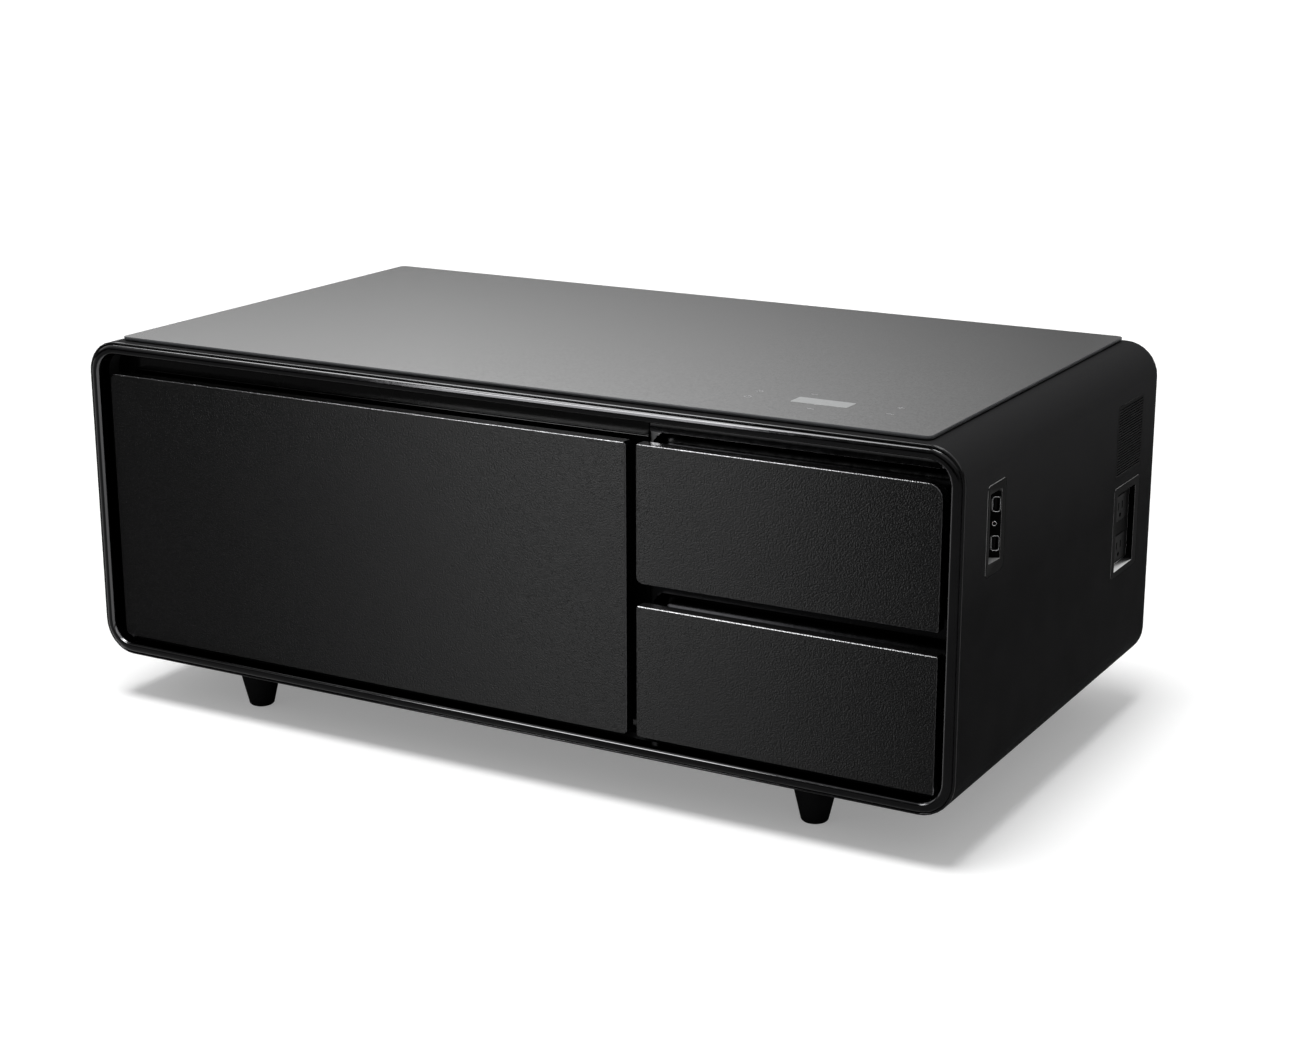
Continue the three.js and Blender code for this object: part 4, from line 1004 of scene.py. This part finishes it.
def back_panel_screws():
    """Four along the top and four along the bottom, the outer ones further from the edge."""
    low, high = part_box("back_panel")
    start = low[0] + BACK_SCREW_INSET
    end = high[0] - BACK_SCREW_INSET
    places = []
    for i in range(BACK_SCREW_COLUMNS):
        x = start + (end - start) * i / (BACK_SCREW_COLUMNS - 1)
        outer = i in (0, BACK_SCREW_COLUMNS - 1)
        inset = BACK_SCREW_INSET if outer else BACK_SCREW_INSET / 2
        places += [(x, high[1], low[2] + inset), (x, high[1], high[2] - inset)]
    screws("back_panel_screws", "cabinet", places)


def drawer_front_screws():
    for drawer in ("upper_drawer", "lower_drawer"):
        low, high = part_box(f"{drawer}_box")
        across = (low[0] + FRONT_SCREW_INSET, high[0] - FRONT_SCREW_INSET)
        places = [(x, low[1] + BOX_WALL, low[2] + FRONT_SCREW_LEVEL) for x in across]
        screws(f"{drawer}_screws", drawer, places)


# Mains inlet


def inlet_pins():
    """Three flat pins with chamfered tips, standing in the inlet's mouth."""
    low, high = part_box("power_inlet")
    foot = high[1] - PIN_FOOT
    mesh = bmesh.new()
    for dx, dz in INLET_PINS:
        x = (low[0] + high[0]) / 2 + dx
        y = -(low[2] + high[2]) / 2 - dz
        sides = (x - PIN_WIDTH / 2, x + PIN_WIDTH / 2)
        ends = (y - PIN_HEIGHT / 2, y + PIN_HEIGHT / 2)
        outline = rounded(*sides, *ends, PIN_CORNER)
        prism(mesh, outline, foot, foot + PIN_LENGTH)
    mesh.transform(TO_THE_BACK)
    piece = link("inlet_pins", mesh, "cabinet", "chrome")
    round_edges(piece, PIN_EASE)


# Stage, light and camera


def floor():
    mesh = bmesh.new()
    bmesh.ops.create_grid(mesh, x_segments=1, y_segments=1, size=FLOOR_SIZE / 2)
    data = bpy.data.meshes.new("floor")
    mesh.to_mesh(data)
    mesh.free()
    piece = bpy.data.objects.new("floor", data)
    bpy.context.scene.collection.objects.link(piece)
    data.materials.append(floor_paint())


def shine(tree, strength):
    """White light from everywhere."""
    node = tree.nodes.new("ShaderNodeBackground")
    node.inputs["Color"].default_value = (1.0, 1.0, 1.0, 1.0)
    node.inputs["Strength"].default_value = strength
    return node


def chosen(tree, factor, first, second):
    """The first shader where the factor is none, and the second where it is one."""
    mix = tree.nodes.new("ShaderNodeMixShader")
    tree.links.new(factor, mix.inputs["Fac"])
    tree.links.new(first, mix.inputs[1])
    tree.links.new(second, mix.inputs[2])
    return mix.outputs["Shader"]


def sky():
    """Even light; white behind the object, and a room with a dark corner and floor line in reflections."""
    world = bpy.data.worlds.new("studio")
    world.use_nodes = True
    bpy.context.scene.world = world
    tree = world.node_tree
    even = shine(tree, AMBIENT)
    white = shine(tree, BACKGROUND_WHITE)
    room = shine(tree, BACKGROUND_WHITE)
    direction = tree.nodes.new("ShaderNodeTexCoord")
    parts = tree.nodes.new("ShaderNodeSeparateXYZ")
    tree.links.new(direction.outputs["Generated"], parts.inputs["Vector"])
    rise = ranged(tree, parts.outputs["Z"], ROOM_LOW[1], ROOM_HIGH[1], ROOM_LOW[0], ROOM_HIGH[0])
    apart = computed(tree, "ABSOLUTE", computed(tree, "SUBTRACT", parts.outputs["X"], ROOM_DARK_SIDE))
    dusk = ranged(tree, apart, ROOM_DARK_SHARE, 1.0, 0.0, ROOM_DARK_WIDTH)
    tree.links.new(computed(tree, "MULTIPLY", rise, dusk), room.inputs["Strength"])
    path = tree.nodes.new("ShaderNodeLightPath")
    mirrored = computed(tree, "MAXIMUM", path.outputs["Is Glossy Ray"], path.outputs["Is Transmission Ray"])
    lit = chosen(tree, mirrored, even.outputs["Background"], room.outputs["Background"])
    seen = chosen(tree, path.outputs["Is Camera Ray"], lit, white.outputs["Background"])
    tree.links.new(seen, tree.nodes["World Output"].inputs["Surface"])


def softbox(name, place, target, size, watts):
    """Panel of light that shows in glossy surfaces, and adds nothing to the even light."""
    lamp = bpy.data.lights.new(name, "AREA")
    lamp.shape = "RECTANGLE"
    lamp.size, lamp.size_y = size
    lamp.energy = watts
    holder = bpy.data.objects.new(name, lamp)
    holder.visible_camera = False
    holder.visible_diffuse = False
    bpy.context.scene.collection.objects.link(holder)
    holder.location = place
    holder.rotation_euler = (Vector(target) - Vector(place)).to_track_quat("-Z", "Y").to_euler()


def sun():
    """Broad light from above, which throws the shadow on the floor."""
    lamp = bpy.data.lights.new("key", "SUN")
    lamp.energy = SUN_LEVEL
    lamp.angle = SUN_ANGLE
    holder = bpy.data.objects.new("key", lamp)
    bpy.context.scene.collection.objects.link(holder)
    holder.rotation_euler = Vector(SUN_DIRECTION).to_track_quat("-Z", "Y").to_euler()


def camera():
    data = bpy.data.cameras.new("camera")
    data.lens = CAMERA_LENS
    data.sensor_width = CAMERA_SENSOR
    holder = bpy.data.objects.new("camera", data)
    bpy.context.scene.collection.objects.link(holder)
    level = math.cos(CAMERA_PITCH)
    back = Vector((
        math.sin(CAMERA_AZIMUTH) * level, -math.cos(CAMERA_AZIMUTH) * level, math.sin(CAMERA_PITCH),
    ))
    side = Vector(UPWARD).cross(back).normalized()
    turn = Matrix((side, back.cross(side), back)).transposed() @ Matrix.Rotation(CAMERA_ROLL, 3, "Z")
    holder.matrix_world = Matrix.Translation(CAMERA_PLACE) @ turn.to_4x4()
    bpy.context.scene.camera = holder


dress_nodes()
ease_visible_edges()
glass_pane()
touch_display()
touch_icons()
ports()
port_indicator()
back_panel_screws()
drawer_front_screws()
inlet_pins()
floor()
sky()
sun()
softbox("strip", *STRIP)
softbox("overhead", *OVERHEAD)
camera()
bpy.context.scene.view_settings.view_transform = "Standard"
